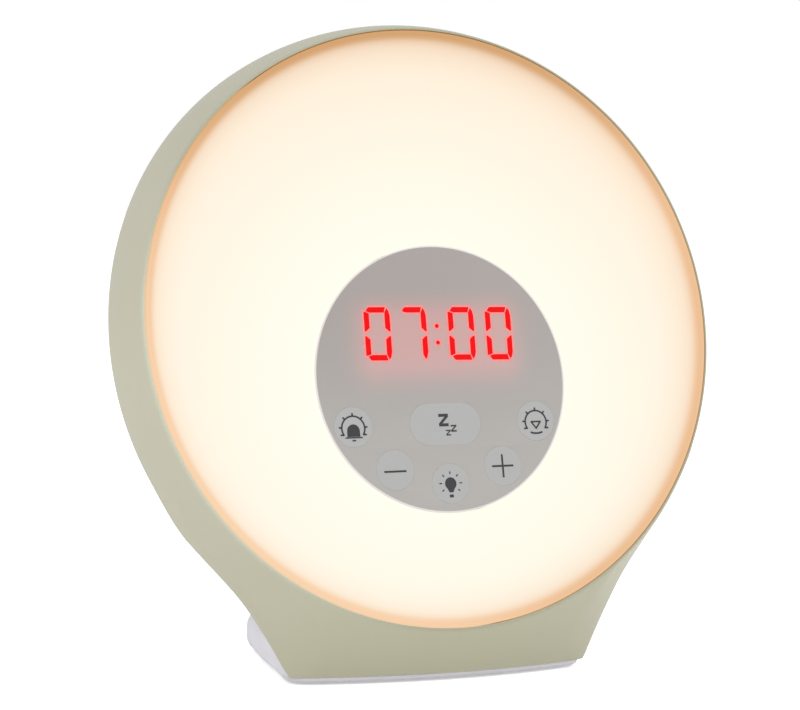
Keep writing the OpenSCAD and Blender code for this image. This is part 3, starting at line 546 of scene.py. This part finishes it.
def rearField(x, y, z):
    # signed distance to the rear cover's outside, in mm, at places in the world
    r = rear
    up, out = toFace(y, z)
    tuck = r["rimTuck"] * np.clip((z - r["tuckFrom"]) / r["tuckOver"], 0, 1)
    behind = out + shell["depth"] - tuck
    sphere = (r["domeRadius"] ** 2 + r["domeDepth"] ** 2) / (2 * r["domeDepth"])
    centre = sphere - r["domeDepth"] - shell["depth"] - r["band"]
    radius = np.sqrt(x * x + up * up)
    ball = np.sqrt(radius ** 2 + (out - centre) ** 2) - sphere
    dome = roundedMax(ball, radius - r["domeRadius"], r["edgeRound"])
    # stem: from the neck's outline it narrows and sinks to a round back
    run = np.clip((y - r["stemStart"]) / (r["stemEnd"] - r["stemStart"]), 0.0, 1.0)
    ease = run * run * (3 - 2 * run)
    top = r["neckTop"] - (r["neckTop"] - r["stemTop"]) * run ** r["stemSink"]
    half = r["footHalf"] + (r["stemHalf"] - r["footHalf"]) * ease
    ground = face["groundGap"]
    widen = np.maximum(z - ground, 0) / (r["neckTop"] - ground) * (r["neckHalf"] - r["footHalf"])
    side = (np.abs(x) - half - widen * (1 - ease) * r["neckShare"]) * r["stemSlope"]
    side = roundedMax(side, y - r["stemEnd"], r["stemEndRound"])
    stem = roundedMax(side, z - top, r["stemRound"])
    # foot: a low slab, soft at its top and below
    foot = lowEdge(roundedMax(footPlan(x, y), z - r["footTop"], r["footTopRound"]), y, z)
    # neck: the plate behind the front shell's seam
    reach = shell["lipRadius"] + shell["bulge"] + shell["neckRadius"]
    turn = math.radians(shell["neckAngle"])
    flank = (shell["neckRadius"] + r["neckInset"]
             - np.hypot(np.abs(x) - reach * math.cos(turn), up + reach * math.sin(turn)))
    tangent = (shell["lipRadius"] + shell["bulge"]) * np.array([math.cos(turn), math.sin(turn)])
    plate = np.maximum(np.maximum(flank, up + tangent[1]),
                       -out - shell["depth"] - r["plateDepth"])
    plate = np.maximum(plate, np.abs(x) - tangent[0])
    inside = np.maximum(stem, flank + r["neckMargin"] - r["neckRelease"] * run * run)
    joined = softMin(softMin(dome, inside, r["blend"]), foot, r["footBlend"])
    joined = softMin(joined, plate, r["plateBlend"])
    return np.maximum(np.maximum(joined, behind), ground - z)


def netSurface(field, origin, step):
    # a skin where the field changes sign: one point per cell, at the mean of the
    # crossings on its edges, and one quad across each grid edge that is crossed
    inside = field < 0
    shape = tuple(n - 1 for n in field.shape)
    total, count = np.zeros(shape + (3,), np.float32), np.zeros(shape, np.float32)
    for axis in range(3):
        for p, q in ((0, 0), (0, 1), (1, 0), (1, 1)):
            offset = np.insert([p, q], axis, 0)
            near, away = (tuple(slice(o, o + n) for o, n in zip(corner, shape))
                          for corner in (offset, offset + (np.arange(3) == axis)))
            a, b = field[near], field[away]
            cross = inside[near] != inside[away]
            share = np.where(cross, a / np.where(cross, a - b, 1), 0)
            spot = np.array(offset, np.float32) + np.zeros_like(total)
            spot[..., axis] += share
            total += spot * cross[..., None]
            count += cross
    used = count > 0
    index = np.full(shape, -1)
    index[used] = np.arange(used.sum())
    cells = np.stack(np.nonzero(used), -1)
    points = (cells + total[used] / count[used][:, None]) * step + origin
    quads = []
    for axis in range(3):
        one, two = [k for k in range(3) if k != axis]
        span = [slice(1, n) for n in shape]
        span[axis] = slice(0, shape[axis])
        far = list(span)
        far[axis] = slice(1, shape[axis] + 1)
        first, second = inside[tuple(span)], inside[tuple(far)]
        corners = []
        for p, q in ((0, 0), (1, 0), (1, 1), (0, 1)):
            pick = list(span)
            pick[one], pick[two] = slice(1 - p, shape[one] - p), slice(1 - q, shape[two] - q)
            corners.append(index[tuple(pick)])
        quad = np.stack(corners, -1)
        flip = first if axis != 1 else ~first
        crossed = first != second
        quads.append(np.where(flip[crossed][:, None], quad[crossed], quad[crossed][:, ::-1]))
    return points, np.concatenate(quads)


def baseField(x, y, z):
    # the plate under both housings: the foot's outline, cut in front by the flare's cone
    up, out = toFace(y, z)
    flare = math.radians(shell["flare"])
    beyond = np.hypot(x, up) - shell["lipRadius"] + rear["baseInset"]
    cone = beyond * math.cos(flare) + out * math.sin(flare)
    plan = roundedMax(footPlan(x, y), cone, rear["frontCorner"])
    return np.maximum(lowEdge(plan, y, z), z - face["groundGap"])


def fieldPiece(name, field, low, high, step):
    # a field worked out on a grid in space, with a skin where it changes sign
    axes = [np.arange(a, b, step) for a, b in zip(low, high)]
    grid = np.meshgrid(*axes, indexing="ij")
    points, quads = netSurface(field(*grid).astype(np.float32), np.array(low), step)
    return tidyMesh(newPiece(name, points * mm, quads.tolist()), merge=0.000001)


def tube(start, along, radius, length, steps=32):
    # closed cylinder in mm, between a ring of points square to its axis and the same again
    along = np.asarray(along, float)
    side = np.cross(along, (1.0, 0.0, 0.0) if abs(along[0]) < 0.9 else (0.0, 1.0, 0.0))
    side = side / np.linalg.norm(side)
    other = np.cross(along, side)
    a = np.linspace(0, 2 * math.pi, steps, endpoint=False)[:, None]
    ring = np.asarray(start) + radius * (np.cos(a) * side + np.sin(a) * other)
    return prism(ring, ring + length * along)


def drill(piece, tubes):
    # takes groups of closed shapes out of a piece, one group after another
    for number, group in enumerate(tubes):
        points, faces = joinShapes(group)
        cutter = tidyMesh(newPiece(f"{piece.name}Cutter{number}", points * mm, faces))
        cut = piece.modifiers.new("cut", "BOOLEAN")
        cut.operation, cut.solver, cut.object = "DIFFERENCE", "EXACT", cutter
        mesh = finalMesh(piece)
        piece.modifiers.clear()
        piece.data = mesh
        bpy.data.objects.remove(cutter)
    return tidyMesh(piece, merge=0.000001, sharpAngle=40)


def rearHoles():
    # the grille's rings, the screws' holes and the inlet's, as drills
    r, faceBack = rear, np.array([0.0, tiltCos, -tiltSin])
    grille = [(0.0, 0.0)]
    for ring in range(1, r["grilleRings"] + 1):
        a = np.radians(60.0 * np.arange(6 * ring) / ring)
        reach = r["grillePitch"] * ring
        grille += list(zip(reach * np.cos(a), reach * np.sin(a)))
    apex = -(shell["depth"] + r["band"] + r["domeDepth"])
    start, length = r["grilleDepth"]
    sound = [tube(fromFace(x, up, apex + start) / mm, faceBack, r["grilleRadius"], length, 20)
             for x, up in grille]
    screws = []
    for a in np.radians(r["screwAngles"]):
        x, up = r["screwPlace"] * math.cos(a), r["screwPlace"] * math.sin(a)
        screws.append(tube(fromFace(x, up, -r["screwSeat"]) / mm, faceBack,
                           r["screwRadius"], r["drillLength"]))
    inlet = tube((0.0, r["inletFace"], r["inletHeight"]), (0.0, 1.0, 0.0), r["inletRadius"],
                 r["drillLength"], 48)
    return [sound + screws + [inlet]]


rearShell = fieldPiece("rearShell", rearField, rear["low"], rear["high"], rear["step"])
drill(rearShell, rearHoles())
finishPiece(rearShell, "white_plastic", replaced=["rear_cover"])

well = {   # battery door's recess and the screws' in the base plate
    "cellPlace": (0.0, -19.05), "doorRadius": 12.6, "earPlace": 15.5, "earRadius": 4.6,
    "doorDepth": 1.1,
    "screws": [(-14.0, 34.95), (14.0, 34.95), (-33.15, -5.05), (33.15, -5.05)],
    "screwRadius": 2.7, "screwDepth": 0.8, "below": 0.6,   # the drills start this far down
}


def baseHoles():
    # the door's round, its ear's and a box between them, and a round for each screw
    w, low, upward = well, rear["underside"] - well["below"], (0, 0, 1.0)
    x, y = w["cellPlace"]
    deep = w["doorDepth"] + w["below"]
    door = tube((x, y, low), upward, w["doorRadius"], deep, 72)
    ear = tube((x + w["earPlace"], y, low), upward, w["earRadius"], deep, 48)
    neck = np.array([[0, -w["earRadius"]], [w["earPlace"], -w["earRadius"]],
                     [w["earPlace"], w["earRadius"]], [0, w["earRadius"]]]) + (x, y)
    joined = prism(*(np.column_stack([neck, np.full(4, z)]) for z in (low, low + deep)))
    heads = [tube((*spot, low), upward, w["screwRadius"], w["screwDepth"] + w["below"], 40)
             for spot in w["screws"]]
    return [[door] + heads, [ear], [joined]]


baseShell = fieldPiece("baseShell", baseField, rear["baseLow"], rear["baseHigh"],
                       rear["baseStep"])
drill(baseShell, baseHoles())
finishPiece(baseShell, "white_plastic", replaced=["base_plate"])
print("rear cover and base made")


# diffuser: a shallow opal dome with a rounded edge, open where the lens sits
cap = {
    "edgeHeight": 0.4, "rise": 1.2, "round": 0.9, "thickness": 2.0, "skirt": 6.0,
    "holeRadius": 35.46, "holeRound": 0.3, "innerStep": 2.5, "innerShare": 0.99,
    "columns": 360, "rows": 40, "roundRows": 9, "sharp": 50,
}


def capPoints(radius, angle):
    # at a distance from the disc's centre, at an angle seen from the lens's centre
    drop = face["lensDrop"]
    reach = drop * np.sin(angle) + np.sqrt(radius ** 2 - (drop * np.cos(angle)) ** 2)
    return reach * np.cos(angle), reach * np.sin(angle) - drop


def capHeight(x, up):
    # highest in the middle, falling with the square of the distance from there
    c = cap
    return c["edgeHeight"] + c["rise"] * (1 - (x * x + up * up) / face["diffuserRadius"] ** 2)


def makeCap():
    # columns by angle round the lens, and rows from the hole out over the top, round the
    # edge, down the skirt and back below
    c = cap
    angle = np.linspace(0, 2 * math.pi, c["columns"], endpoint=False)
    hole, edge = c["holeRadius"] + c["holeRound"], face["diffuserRadius"] - c["round"]
    holeX, holeUp = hole * np.cos(angle), hole * np.sin(angle) - face["lensDrop"]
    edgeX, edgeUp = capPoints(edge, angle)
    rimHeight, holeHeight = capHeight(edgeX, edgeUp), capHeight(holeX, holeUp)
    share = np.linspace(0, 1, c["rows"])[:, None]
    x, up = holeX + share * (edgeX - holeX), holeUp + share * (edgeUp - holeUp)
    turn = np.radians(np.linspace(0, 90, c["roundRows"])[1:, None])
    bare = (c["holeRadius"] * np.cos(angle), c["holeRadius"] * np.sin(angle) - face["lensDrop"])
    inside = capPoints(face["diffuserRadius"] - c["thickness"], angle)
    x, up, height = joinRows([
        (x, up, capHeight(x, up)),
        (*capPoints(edge + c["round"] * np.sin(turn), angle),
         rimHeight - c["round"] * (1 - np.cos(turn))),
        (*capPoints(face["diffuserRadius"], angle), -c["skirt"]), (*inside, -c["skirt"]),
        (*inside, -c["innerStep"]),
        (edgeX * c["innerShare"], edgeUp * c["innerShare"], rimHeight - c["thickness"]),
        (*bare, holeHeight - c["thickness"]), (*bare, holeHeight - c["holeRound"])], angle)
    piece = newPiece("opalCap", fromFace(x, up, height),
                     gridFaces(*x.shape, closeRows=True, closeColumns=True))
    return tidyMesh(piece, sharpAngle=c["sharp"])


# colours of the lit cap, from the middle of the light to its rim
glow = {
    "centre": (-4.0, -16.0),  # middle of the light, on the face, in mm
    "reach": (30.0, 104.0),   # from there, first and last of these colours
    "colours": [(0.0, srgb(255, 255, 241)), (0.28, srgb(255, 250, 234)),
                (0.72, srgb(255, 239, 218)), (1.0, srgb(255, 230, 203))],
    "rim": srgb(234, 184, 136), "rimTop": srgb(207, 152, 93), "rimLow": srgb(247, 207, 168),
    "rimWidth": 2.95, "wider": (0.98, 0.25),   # mm in to half amber, more at right and top
    "topShare": (0.3, 1.0), "lowShare": (0.2, 1.4),   # where its other two shades set in
    "fade": [(0.45, 1.0), (0.7, 0.84), (0.85, 0.66), (1.0, 0.5), (1.25, 0.34), (1.5, 0.25),
             (2.0, 0.16), (2.5, 0.1), (3.5, 0.03), (4.5, 0.0)],   # amber's share, going in
    "strength": 0.93, "unlit": (0.06, 0.055, 0.045, 1.0),
}


def makeGlowGroup():
    # a warm fall-off from near the lens, and an amber rim where the cap turns down
    g = glow
    group, kit, out = newGroup("lampGlow", {"Color": black}, {})
    x, up, _ = faceCoordinates(kit)
    field = kit.ramp(kit.mapRange(distanceTo(kit, x, up, *g["centre"]), *g["reach"]),
                     g["colours"])
    radius = distanceTo(kit, x, up, 0.0, 0.0)
    along = kit.math("DIVIDE", x, face["diffuserRadius"])
    high = kit.math("DIVIDE", up, face["diffuserRadius"])
    atRight, atTop = (kit.math("MULTIPLY", share, more)
                      for share, more in zip((along, high), g["wider"]))
    width = kit.math("ADD", kit.math("ADD", g["rimWidth"], atRight), atTop)
    inward = kit.math("SUBTRACT", face["diffuserRadius"], radius)
    last = g["fade"][-1][0]
    band = kit.ramp(kit.math("DIVIDE", kit.math("DIVIDE", inward, width), last),
                    [(t / last, (v, v, v, 1.0)) for t, v in g["fade"]])
    rimHigh = kit.mix(kit.mapRange(high, *g["topShare"], smooth=True), g["rim"], g["rimTop"])
    lowLeft = kit.math("SUBTRACT", 0.0, kit.math("ADD", along, high))
    rim = kit.mix(kit.mapRange(lowLeft, *g["lowShare"], smooth=True), rimHigh, g["rimLow"])
    kit.put(out.inputs["Color"], kit.mix(band, field, rim))
    return group


def makeOpal():
    # the lamp's colours as its own light, under a satin surface
    material, kit, shader = newMaterial("opalDiffuser", {
        "Emission Strength": glow["strength"], "Specular IOR Level": 0.2})
    lamp = kit.add("ShaderNodeGroup", node_tree=makeGlowGroup())
    kit.put(shader.inputs["Emission Color"], lamp.outputs["Color"])
    addGrain(kit, shader, glow["unlit"], roughness=0.35)
    return material


finishes["opal_diffuser"] = makeOpal()
finishPiece(makeCap(), "opal_diffuser", replaced=["diffuser"])
print("diffuser made")

# smoked panel, its keys and what is lit or printed on them
panel = {
    "faceHeight": 1.2,        # outer face of the lens and the keys, in mm
    "digitsUp": -2.6,         # middle of the digits on the face
    "printProud": 0.045,      # how far prints stand above the lens
    "glowDrop": 1.8,          # how far below the digits their light is centred
    "glowHalf": (18.0, 5.0), "glowReach": 13.0, "glowStrength": 0.2,
    "shadeUp": (10.0, -46.0), # from base to low, in mm up the face
    "rimHighlight": (0.55, 0.2),  # painted highlight at the lens's edge, in from its rim
    "thickness": 2.4, "keyGap": 0.02, "bevel": 0.03,
    # edge is the colour of the painted highlight at the lens's rim
    "base": srgb(159, 152, 148), "low": srgb(170, 167, 163), "edge": srgb(222, 216, 214),
    "keys": srgb(169, 169, 168),
    "digitGlow": srgb(255, 70, 80), "digitRed": srgb(252, 22, 26), "halo": srgb(255, 166, 163),
    "digitStrength": 0.95, "haloStrength": 0.97, "print": srgb(46, 46, 48),
    "deeper": (0.9, 0.7, 0.7), "spotSize": 900.0,   # of what is lit: its deeper spots
}


def makePanelFinish(name, colour, low):
    # satin grey with a painted highlight at its rim, and the digits' pink light spread round them
    p = panel
    material, kit, shader = newMaterial(name, {
        "Emission Strength": p["glowStrength"], "Specular IOR Level": 0.35})
    x, up, _ = faceCoordinates(kit)
    radius = distanceTo(kit, x, up, 0.0, -face["lensDrop"])
    field = kit.mix(kit.mapRange(up, *p["shadeUp"], smooth=True), colour, low)
    # painted highlight: paler towards the lens's rim
    bevel = kit.mapRange(radius, *(face["lensRadius"] - inward for inward in p["rimHighlight"]),
                         smooth=True)
    addGrain(kit, shader, kit.mix(bevel, field, p["edge"]), roughness=0.38, shade_spread=0.03)
    above = kit.math("SUBTRACT", up, p["digitsUp"] - p["glowDrop"])
    away = [kit.math("MAXIMUM", kit.math("SUBTRACT", kit.math("ABSOLUTE", off), half), 0.0)
            for off, half in zip((x, above), p["glowHalf"])]
    near = kit.mapRange(kit.root(*away), 0.0, p["glowReach"], 1.0, 0.0, smooth=True)
    light = kit.mix(kit.math("MULTIPLY", near, near), black, p["digitGlow"])
    kit.put(shader.inputs["Emission Color"], light)
    return material


finishes["smoked_lens"] = makePanelFinish("smokedLens", panel["base"], panel["low"])
finishes["key_grey"] = makePanelFinish("keyGrey", panel["keys"], panel["keys"])


def makeLit(name, colour, strength):
    # light of one colour, a little deeper in fine spots
    material, kit, shader = newMaterial(name, {
        "Emission Strength": strength, "Roughness": 0.5, "Specular IOR Level": 0.05})
    spots = kit.add("ShaderNodeTexNoise", {"Vector": kit.place(), "Scale": panel["spotSize"],
                                           "Detail": 1.0})
    deeper = (*(c * share for c, share in zip(colour, panel["deeper"])), 1.0)
    kit.put(shader.inputs["Emission Color"], kit.mix(spots.outputs["Fac"], colour, deeper))
    kit.put(shader.inputs["Base Color"], kit.mix(spots.outputs["Fac"], (0.02, 0.0, 0.0, 1.0),
                                                 (0.03, 0.0, 0.0, 1.0)))
    return material


finishes["lit_red"] = makeLit("litRed", panel["digitRed"], panel["digitStrength"])
finishes["halo"] = makeLit("litHalo", panel["halo"], panel["haloStrength"])
finishes["print"] = makeMoulded("darkPrint", panel["print"])

# every CAD node takes the finish of its slot
for entry in frame["record"]["subparts"]:
    node = frame["nodes"].get(entry["node"])
    for place in node.material_slots if node else ():
        place.material = finishes[entry["material_slot"]]


def printPiece(name, outlines, atX, atUp, low=-0.02, high=panel["printProud"]):
    # flat shapes, raised a little: each outline is a loop in mm round a point of the face
    shapes = []
    for outline in outlines:
        x, up = np.asarray(outline, float).T
        if np.sum(x * np.roll(up, -1) - np.roll(x, -1) * up) < 0:   # by its area's sign
            x, up = x[::-1], up[::-1]
        shapes.append(prism(*(fromFace(atX + x, atUp + up, panel["faceHeight"] + height)
                              for height in (low, high))))
    return newPiece(name, *joinShapes(shapes), smooth=False)


def disc(x, up, radius, steps=28):   # points on a circle
    a = np.linspace(0, 2 * math.pi, steps, endpoint=False)
    return np.stack([x + radius * np.cos(a), up + radius * np.sin(a)], -1)


def stroke(ax, au, bx, bu, width):
    # a straight line with square ends
    along = np.array([bx - ax, bu - au]) / math.hypot(bx - ax, bu - au)
    side = np.array([-along[1], along[0]]) * width / 2
    a, b = np.array([ax, au]), np.array([bx, bu])
    return np.array([a - side, b - side, b + side, a + side])


def arcStroke(x, up, radius, start, end, width, steps=40):
    # out along one arc and back along another, a line's weight further in
    a = np.radians(np.linspace(start, end, steps))
    ring = [np.stack([x + r * np.cos(a), up + r * np.sin(a)], -1)
            for r in (radius + width / 2, radius - width / 2)]
    return np.concatenate([ring[0], ring[1][::-1]])


def letterZ(left, low, width, height, weight):
    # two bars and the slant between them
    right, top = left + width, low + height
    lean = weight * 1.25
    return np.array([[left, low], [right, low], [right, low + weight],
                     [left + lean, low + weight], [right, top - weight], [right, top],
                     [left, top], [left, top - weight], [right - lean, top - weight],
                     [left, low + weight]])


def platePiece(name, loops, low, high, bevel):
    # a plate with rounded edges: the first loop is its outside, the rest are holes
    curve = bpy.data.curves.new(name, "CURVE")
    curve.dimensions, curve.fill_mode = "2D", "BOTH"
    curve.extrude, curve.bevel_depth = (high - low) / 2 - bevel, bevel
    curve.bevel_resolution, curve.offset = 2, -bevel
    for loop in loops:
        spline = curve.splines.new("POLY")
        spline.points.add(len(loop) - 1)
        flat = np.zeros((len(loop), 4))
        flat[:, :2], flat[:, 3] = loop, 1.0
        spline.points.foreach_set("co", flat.ravel())
        spline.use_cyclic_u = True
    shape = addObject(name + "Curve", curve)
    mesh = finalMesh(shape)
    bpy.data.objects.remove(shape)
    bpy.data.curves.remove(curve)
    flat = np.zeros(len(mesh.vertices) * 3)
    mesh.vertices.foreach_get("co", flat)
    x, up, out = flat.reshape(-1, 3).T
    mesh.vertices.foreach_set("co", fromFace(x, up, (low + high) / 2 + out).ravel())
    mesh.name = name
    mesh.polygons.foreach_set("use_smooth", [True] * len(mesh.polygons))
    return tidyMesh(addObject(name, mesh), merge=0.000002, sharpAngle=30)


def keyLoop(half, radius, steps=72):
    # a circle, or two half circles joined by straight sides
    a = np.linspace(0, 2 * math.pi, steps, endpoint=False) + math.pi / steps
    return np.stack([radius * np.cos(a) + half * np.sign(np.cos(a)), radius * np.sin(a)], -1)


keyRadius, wideKey = 5.3, (4.5, 5.6)   # the snooze key: half its straight side, radius
keyPlaces = {
    "alarm": (-26.0, -26.6), "snooze": (0.0, -26.6), "sunset": (26.0, -26.6),
    "minus": (-15.3, -38.2), "plus": (15.3, -38.2), "light": (0.0, -42.3),
}


def makeLens():
    # a disc with a hole for each key
    p = panel
    loops = [disc(0.0, -face["lensDrop"], face["lensRadius"], steps=240)]
    for name, place in keyPlaces.items():
        half, radius = wideKey if name == "snooze" else (0.0, keyRadius)
        loops.append(keyLoop(half, radius + p["keyGap"]) + place)
    lens = platePiece("smokedPanel", loops, p["faceHeight"] - p["thickness"], p["faceHeight"],
                      p["bevel"])
    finishPiece(lens, "smoked_lens", replaced=["display_lens"])


digits = {
    "height": 14.1, "width": 7.3, "places": [-16.85, -6.6, 7.0, 17.7], "stroke": 1.45,
    "cornerRound": 1.3, "middleGap": 0.65, "mitreGap": 0.13,
    "colon": [(0.0, 2.0), (0.0, -2.4)], "colonRadius": 0.54,
    "shown": ["abcdef", "abc", "abcdef", "abcdef"],
    "proud": 0.05, "halo": 0.5, "haloProud": 0.03,
    "turn": -1.0,   # the row leans a degree clockwise
}


def digitBars(grow):
    # one digit's bars by their usual letters: those at the top and bottom hold the left
    # corners, and those on the right hold the right ones
    d = digits
    w, h, s, g = d["width"] / 2, d["height"] / 2, d["stroke"], d["mitreGap"] - grow
    r, m, o = d["cornerRound"], d["middleGap"] - grow, grow
    top = [[-w + s * 0.42 - o, h - s * 0.75], [-w + s * 0.75, h - s * 0.2 + o * 0.5],
           [-w + r * 1.1, h + o], [w - s * 0.72 - g, h + o], [w - s - g, h - s - o],
           [-w + s * 1.1 + g, h - s - o]]
    right = [[w - s * 0.55 + g * 0.3, h - 0.25 + o], [w - s * 0.2 + o * 0.5, h - r * 0.75 + o],
             [w + o, h - r * 1.7], [w + o, m], [w - s * 0.3, m], [w - s - o, m + s * 0.62],
             [w - s - o, h - s - g * 0.6], [w - s * 0.72 + g, h - s * 0.35]]
    left = [[-w - o, h - s * 0.75 - g], [-w + s * 0.45, h - s * 0.78 - g * 1.4],
            [-w + s + o, h - s - g * 1.6], [-w + s + o, m + s * 0.62], [-w + s * 0.3, m],
            [-w - o, m]]
    bars = {"a": np.array(top), "b": np.array(right), "f": np.array(left)}
    for name, source in (("d", "a"), ("c", "b"), ("e", "f")):
        bars[name] = bars[source] * (1, -1)
    return bars


def makeDigits(name, grow, high, finish=None):
    # the bars of each shown digit and the two dots, set in a row and turned as one
    d = digits
    outlines = []
    bars = digitBars(grow)
    for place, shown in zip(d["places"], d["shown"]):
        outlines += [bars[letter] + (place, 0) for letter in shown]
    outlines += [disc(x, up, d["colonRadius"] + grow) for x, up in d["colon"]]
    c, s = math.cos(math.radians(d["turn"])), math.sin(math.radians(d["turn"]))
    turned = [np.asarray(outline) @ [[c, s], [-s, c]] for outline in outlines]
    piece = printPiece(name, turned, 0.0, panel["digitsUp"], high=high)
    finishPiece(piece, "lit_red", finish)


makeLens()
makeDigits("litDigits", 0.0, digits["proud"])
makeDigits("litHalos", digits["halo"], digits["haloProud"], "halo")

sun = {"line": 0.43, "tick": 0.8, "flatEnd": (0.15, 0.95)}   # printed, in mm


def rays(low, start, end, turns, width):
    # lines out from one point, between two distances from it, one at each turn
    for turn in np.radians(turns):
        c, s = math.cos(turn), math.sin(turn)
        yield stroke(start * c, low + start * s, end * c, low + end * s, width)


def sunArc(low, radius, ends):
    # a rising or setting sun: an arc open below, ticks round it and flat ends
    line, (inward, outward) = sun["line"], sun["flatEnd"]
    a = [arcStroke(0, low, radius, -ends, 180 + ends, line),
         *rays(low, radius, radius + sun["tick"], (90, 47, 133, 4, 176), line)]
    x, up = radius * math.cos(math.radians(ends)), low - radius * math.sin(math.radians(ends))
    for side in (-1, 1):
        a.append(stroke(side * (x - inward), up, side * (x + outward), up, line))
    return a


def bellOutline():
    # half a circle on a skirt that widens to its foot
    a = np.radians(np.linspace(0, 180, 22))
    domed = np.stack([1.75 * np.cos(a), -1.0 + 1.75 * np.sin(a)], -1)
    return np.concatenate([domed, [[-1.8, -2.5], [1.8, -2.5]]])


def bulbOutline():
    # most of an ellipse, drawn in to a narrow foot
    a = np.radians(np.linspace(-52, 232, 34))
    return np.concatenate([np.stack([1.6 * np.cos(a), 1.65 * np.sin(a)], -1),
                           [[-0.55, -2.3], [0.55, -2.3]]])


icons = {
    "alarm": sunArc(-0.3, 3.2, 32) + [bellOutline(), stroke(-2.4, -2.75, 2.4, -2.75, 0.34),
                                      stroke(-0.5, -3.5, 0.5, -3.5, 0.4)],
    "sunset": sunArc(-0.3, 3.05, 32) + [
        stroke(-1.45, -0.2, 1.45, -0.2, 0.42), stroke(-1.3, -0.25, 0.08, -2.05, 0.42),
        stroke(1.3, -0.25, -0.08, -2.05, 0.42), arcStroke(0, 1.2, 4.5, 248, 292, 0.48)],
    "snooze": [letterZ(-1.8, -0.6, 2.7, 3.3, 0.78), letterZ(1.45, -2.1, 1.6, 1.8, 0.4),
               letterZ(0.0, -3.05, 1.3, 1.5, 0.34)],
    "minus": [stroke(-3.1, -0.35, 3.1, -0.35, 0.5)],
    "plus": [np.array([[-3.05, -0.25], [-0.25, -0.25], [-0.25, -3.05], [0.25, -3.05],
                       [0.25, -0.25], [3.05, -0.25], [3.05, 0.25], [0.25, 0.25],
                       [0.25, 3.05], [-0.25, 3.05], [-0.25, 0.25], [-3.05, 0.25]])],
    "light": [bulbOutline(), stroke(-0.55, -3.25, 0.55, -3.25, 0.75),
              *rays(0.0, 2.5, 3.2, (90, 47, 133, 2, 178, -38, 218), 0.3)],
}
for keyName, outlines in icons.items():
    icon = printPiece(keyName + "Print", outlines, *keyPlaces[keyName])
    finishPiece(icon, "dark_plastic", "print", body=keyName + "_button")
print("panel, digits and prints made")


# floor, light and background
studio = {
    "floor": srgb(250, 250, 250), "floorCloud": srgb(252, 252, 252), "floorRadius": 6,
    "floorLift": (0.45, 0.45, 0.45, 1.0),
    "around": (0.76, 0.76, 0.77, 1.0),
    "aim": (0.0, 0.0, 0.08),
    "lamps": [  # place in m, size in m, watts
        ((-1.1, -1.1, 0.9), 1.1, 9.0),
        ((1.2, -0.7, 0.8), 1.2, 5.0),
        ((0.2, 1.0, 1.2), 1.2, 1.5),
    ],
}


def seenRays(kit):
    # 1 for what the camera sees straight on, in a gloss or through a clear part
    path = kit.add("ShaderNodeLightPath").outputs
    seen = kit.math("ADD", path["Is Camera Ray"], path["Is Glossy Ray"])
    return kit.math("ADD", seen, path["Is Transmission Ray"], clamp=True)


def makeStudio():
    # a wide pale floor, round lamps aimed at the clock, and a white world
    material, kit, shader = newMaterial("paleFloor", {
        "Roughness": 0.9, "Specular IOR Level": 0.1, "Emission Strength": 1.0})
    cloud = kit.add("ShaderNodeTexNoise", {"Vector": kit.place(), "Scale": 3.0})
    kit.put(shader.inputs["Base Color"], kit.mix(cloud.outputs["Fac"], studio["floor"],
                                                 studio["floorCloud"]))
    kit.put(shader.inputs["Emission Color"], kit.mix(seenRays(kit), black, studio["floorLift"]))
    edge = disc(0, 0, studio["floorRadius"], steps=64)
    floor = newPiece("floor", np.column_stack([edge, 0 * edge[:, 0]]), [list(range(64))],
                     smooth=False)
    floor.data.materials.append(material)
    for number, (place, size, watts) in enumerate(studio["lamps"]):
        data = bpy.data.lights.new(f"softLamp{number}", "AREA")
        data.shape, data.size, data.energy = "DISK", size, watts
        lamp = addObject(data.name, data)
        lamp.location = place
        aim = Vector(studio["aim"]) - Vector(place)
        lamp.rotation_euler = aim.to_track_quat("-Z", "Y").to_euler()
    world = bpy.data.worlds.new("whiteRoom")
    bpy.context.scene.world = world
    world.use_nodes = True
    world.node_tree.nodes.clear()
    kit = nodeKit(world.node_tree)
    colour = kit.mix(seenRays(kit), studio["around"], (1.0, 1.0, 1.0, 1.0))
    background = kit.add("ShaderNodeBackground", {"Color": colour, "Strength": 1.0})
    output = kit.add("ShaderNodeOutputWorld")
    world.node_tree.links.new(background.outputs[0], output.inputs[0])
    bpy.context.scene.view_settings.view_transform = "Standard"


makeStudio()
print("studio made")
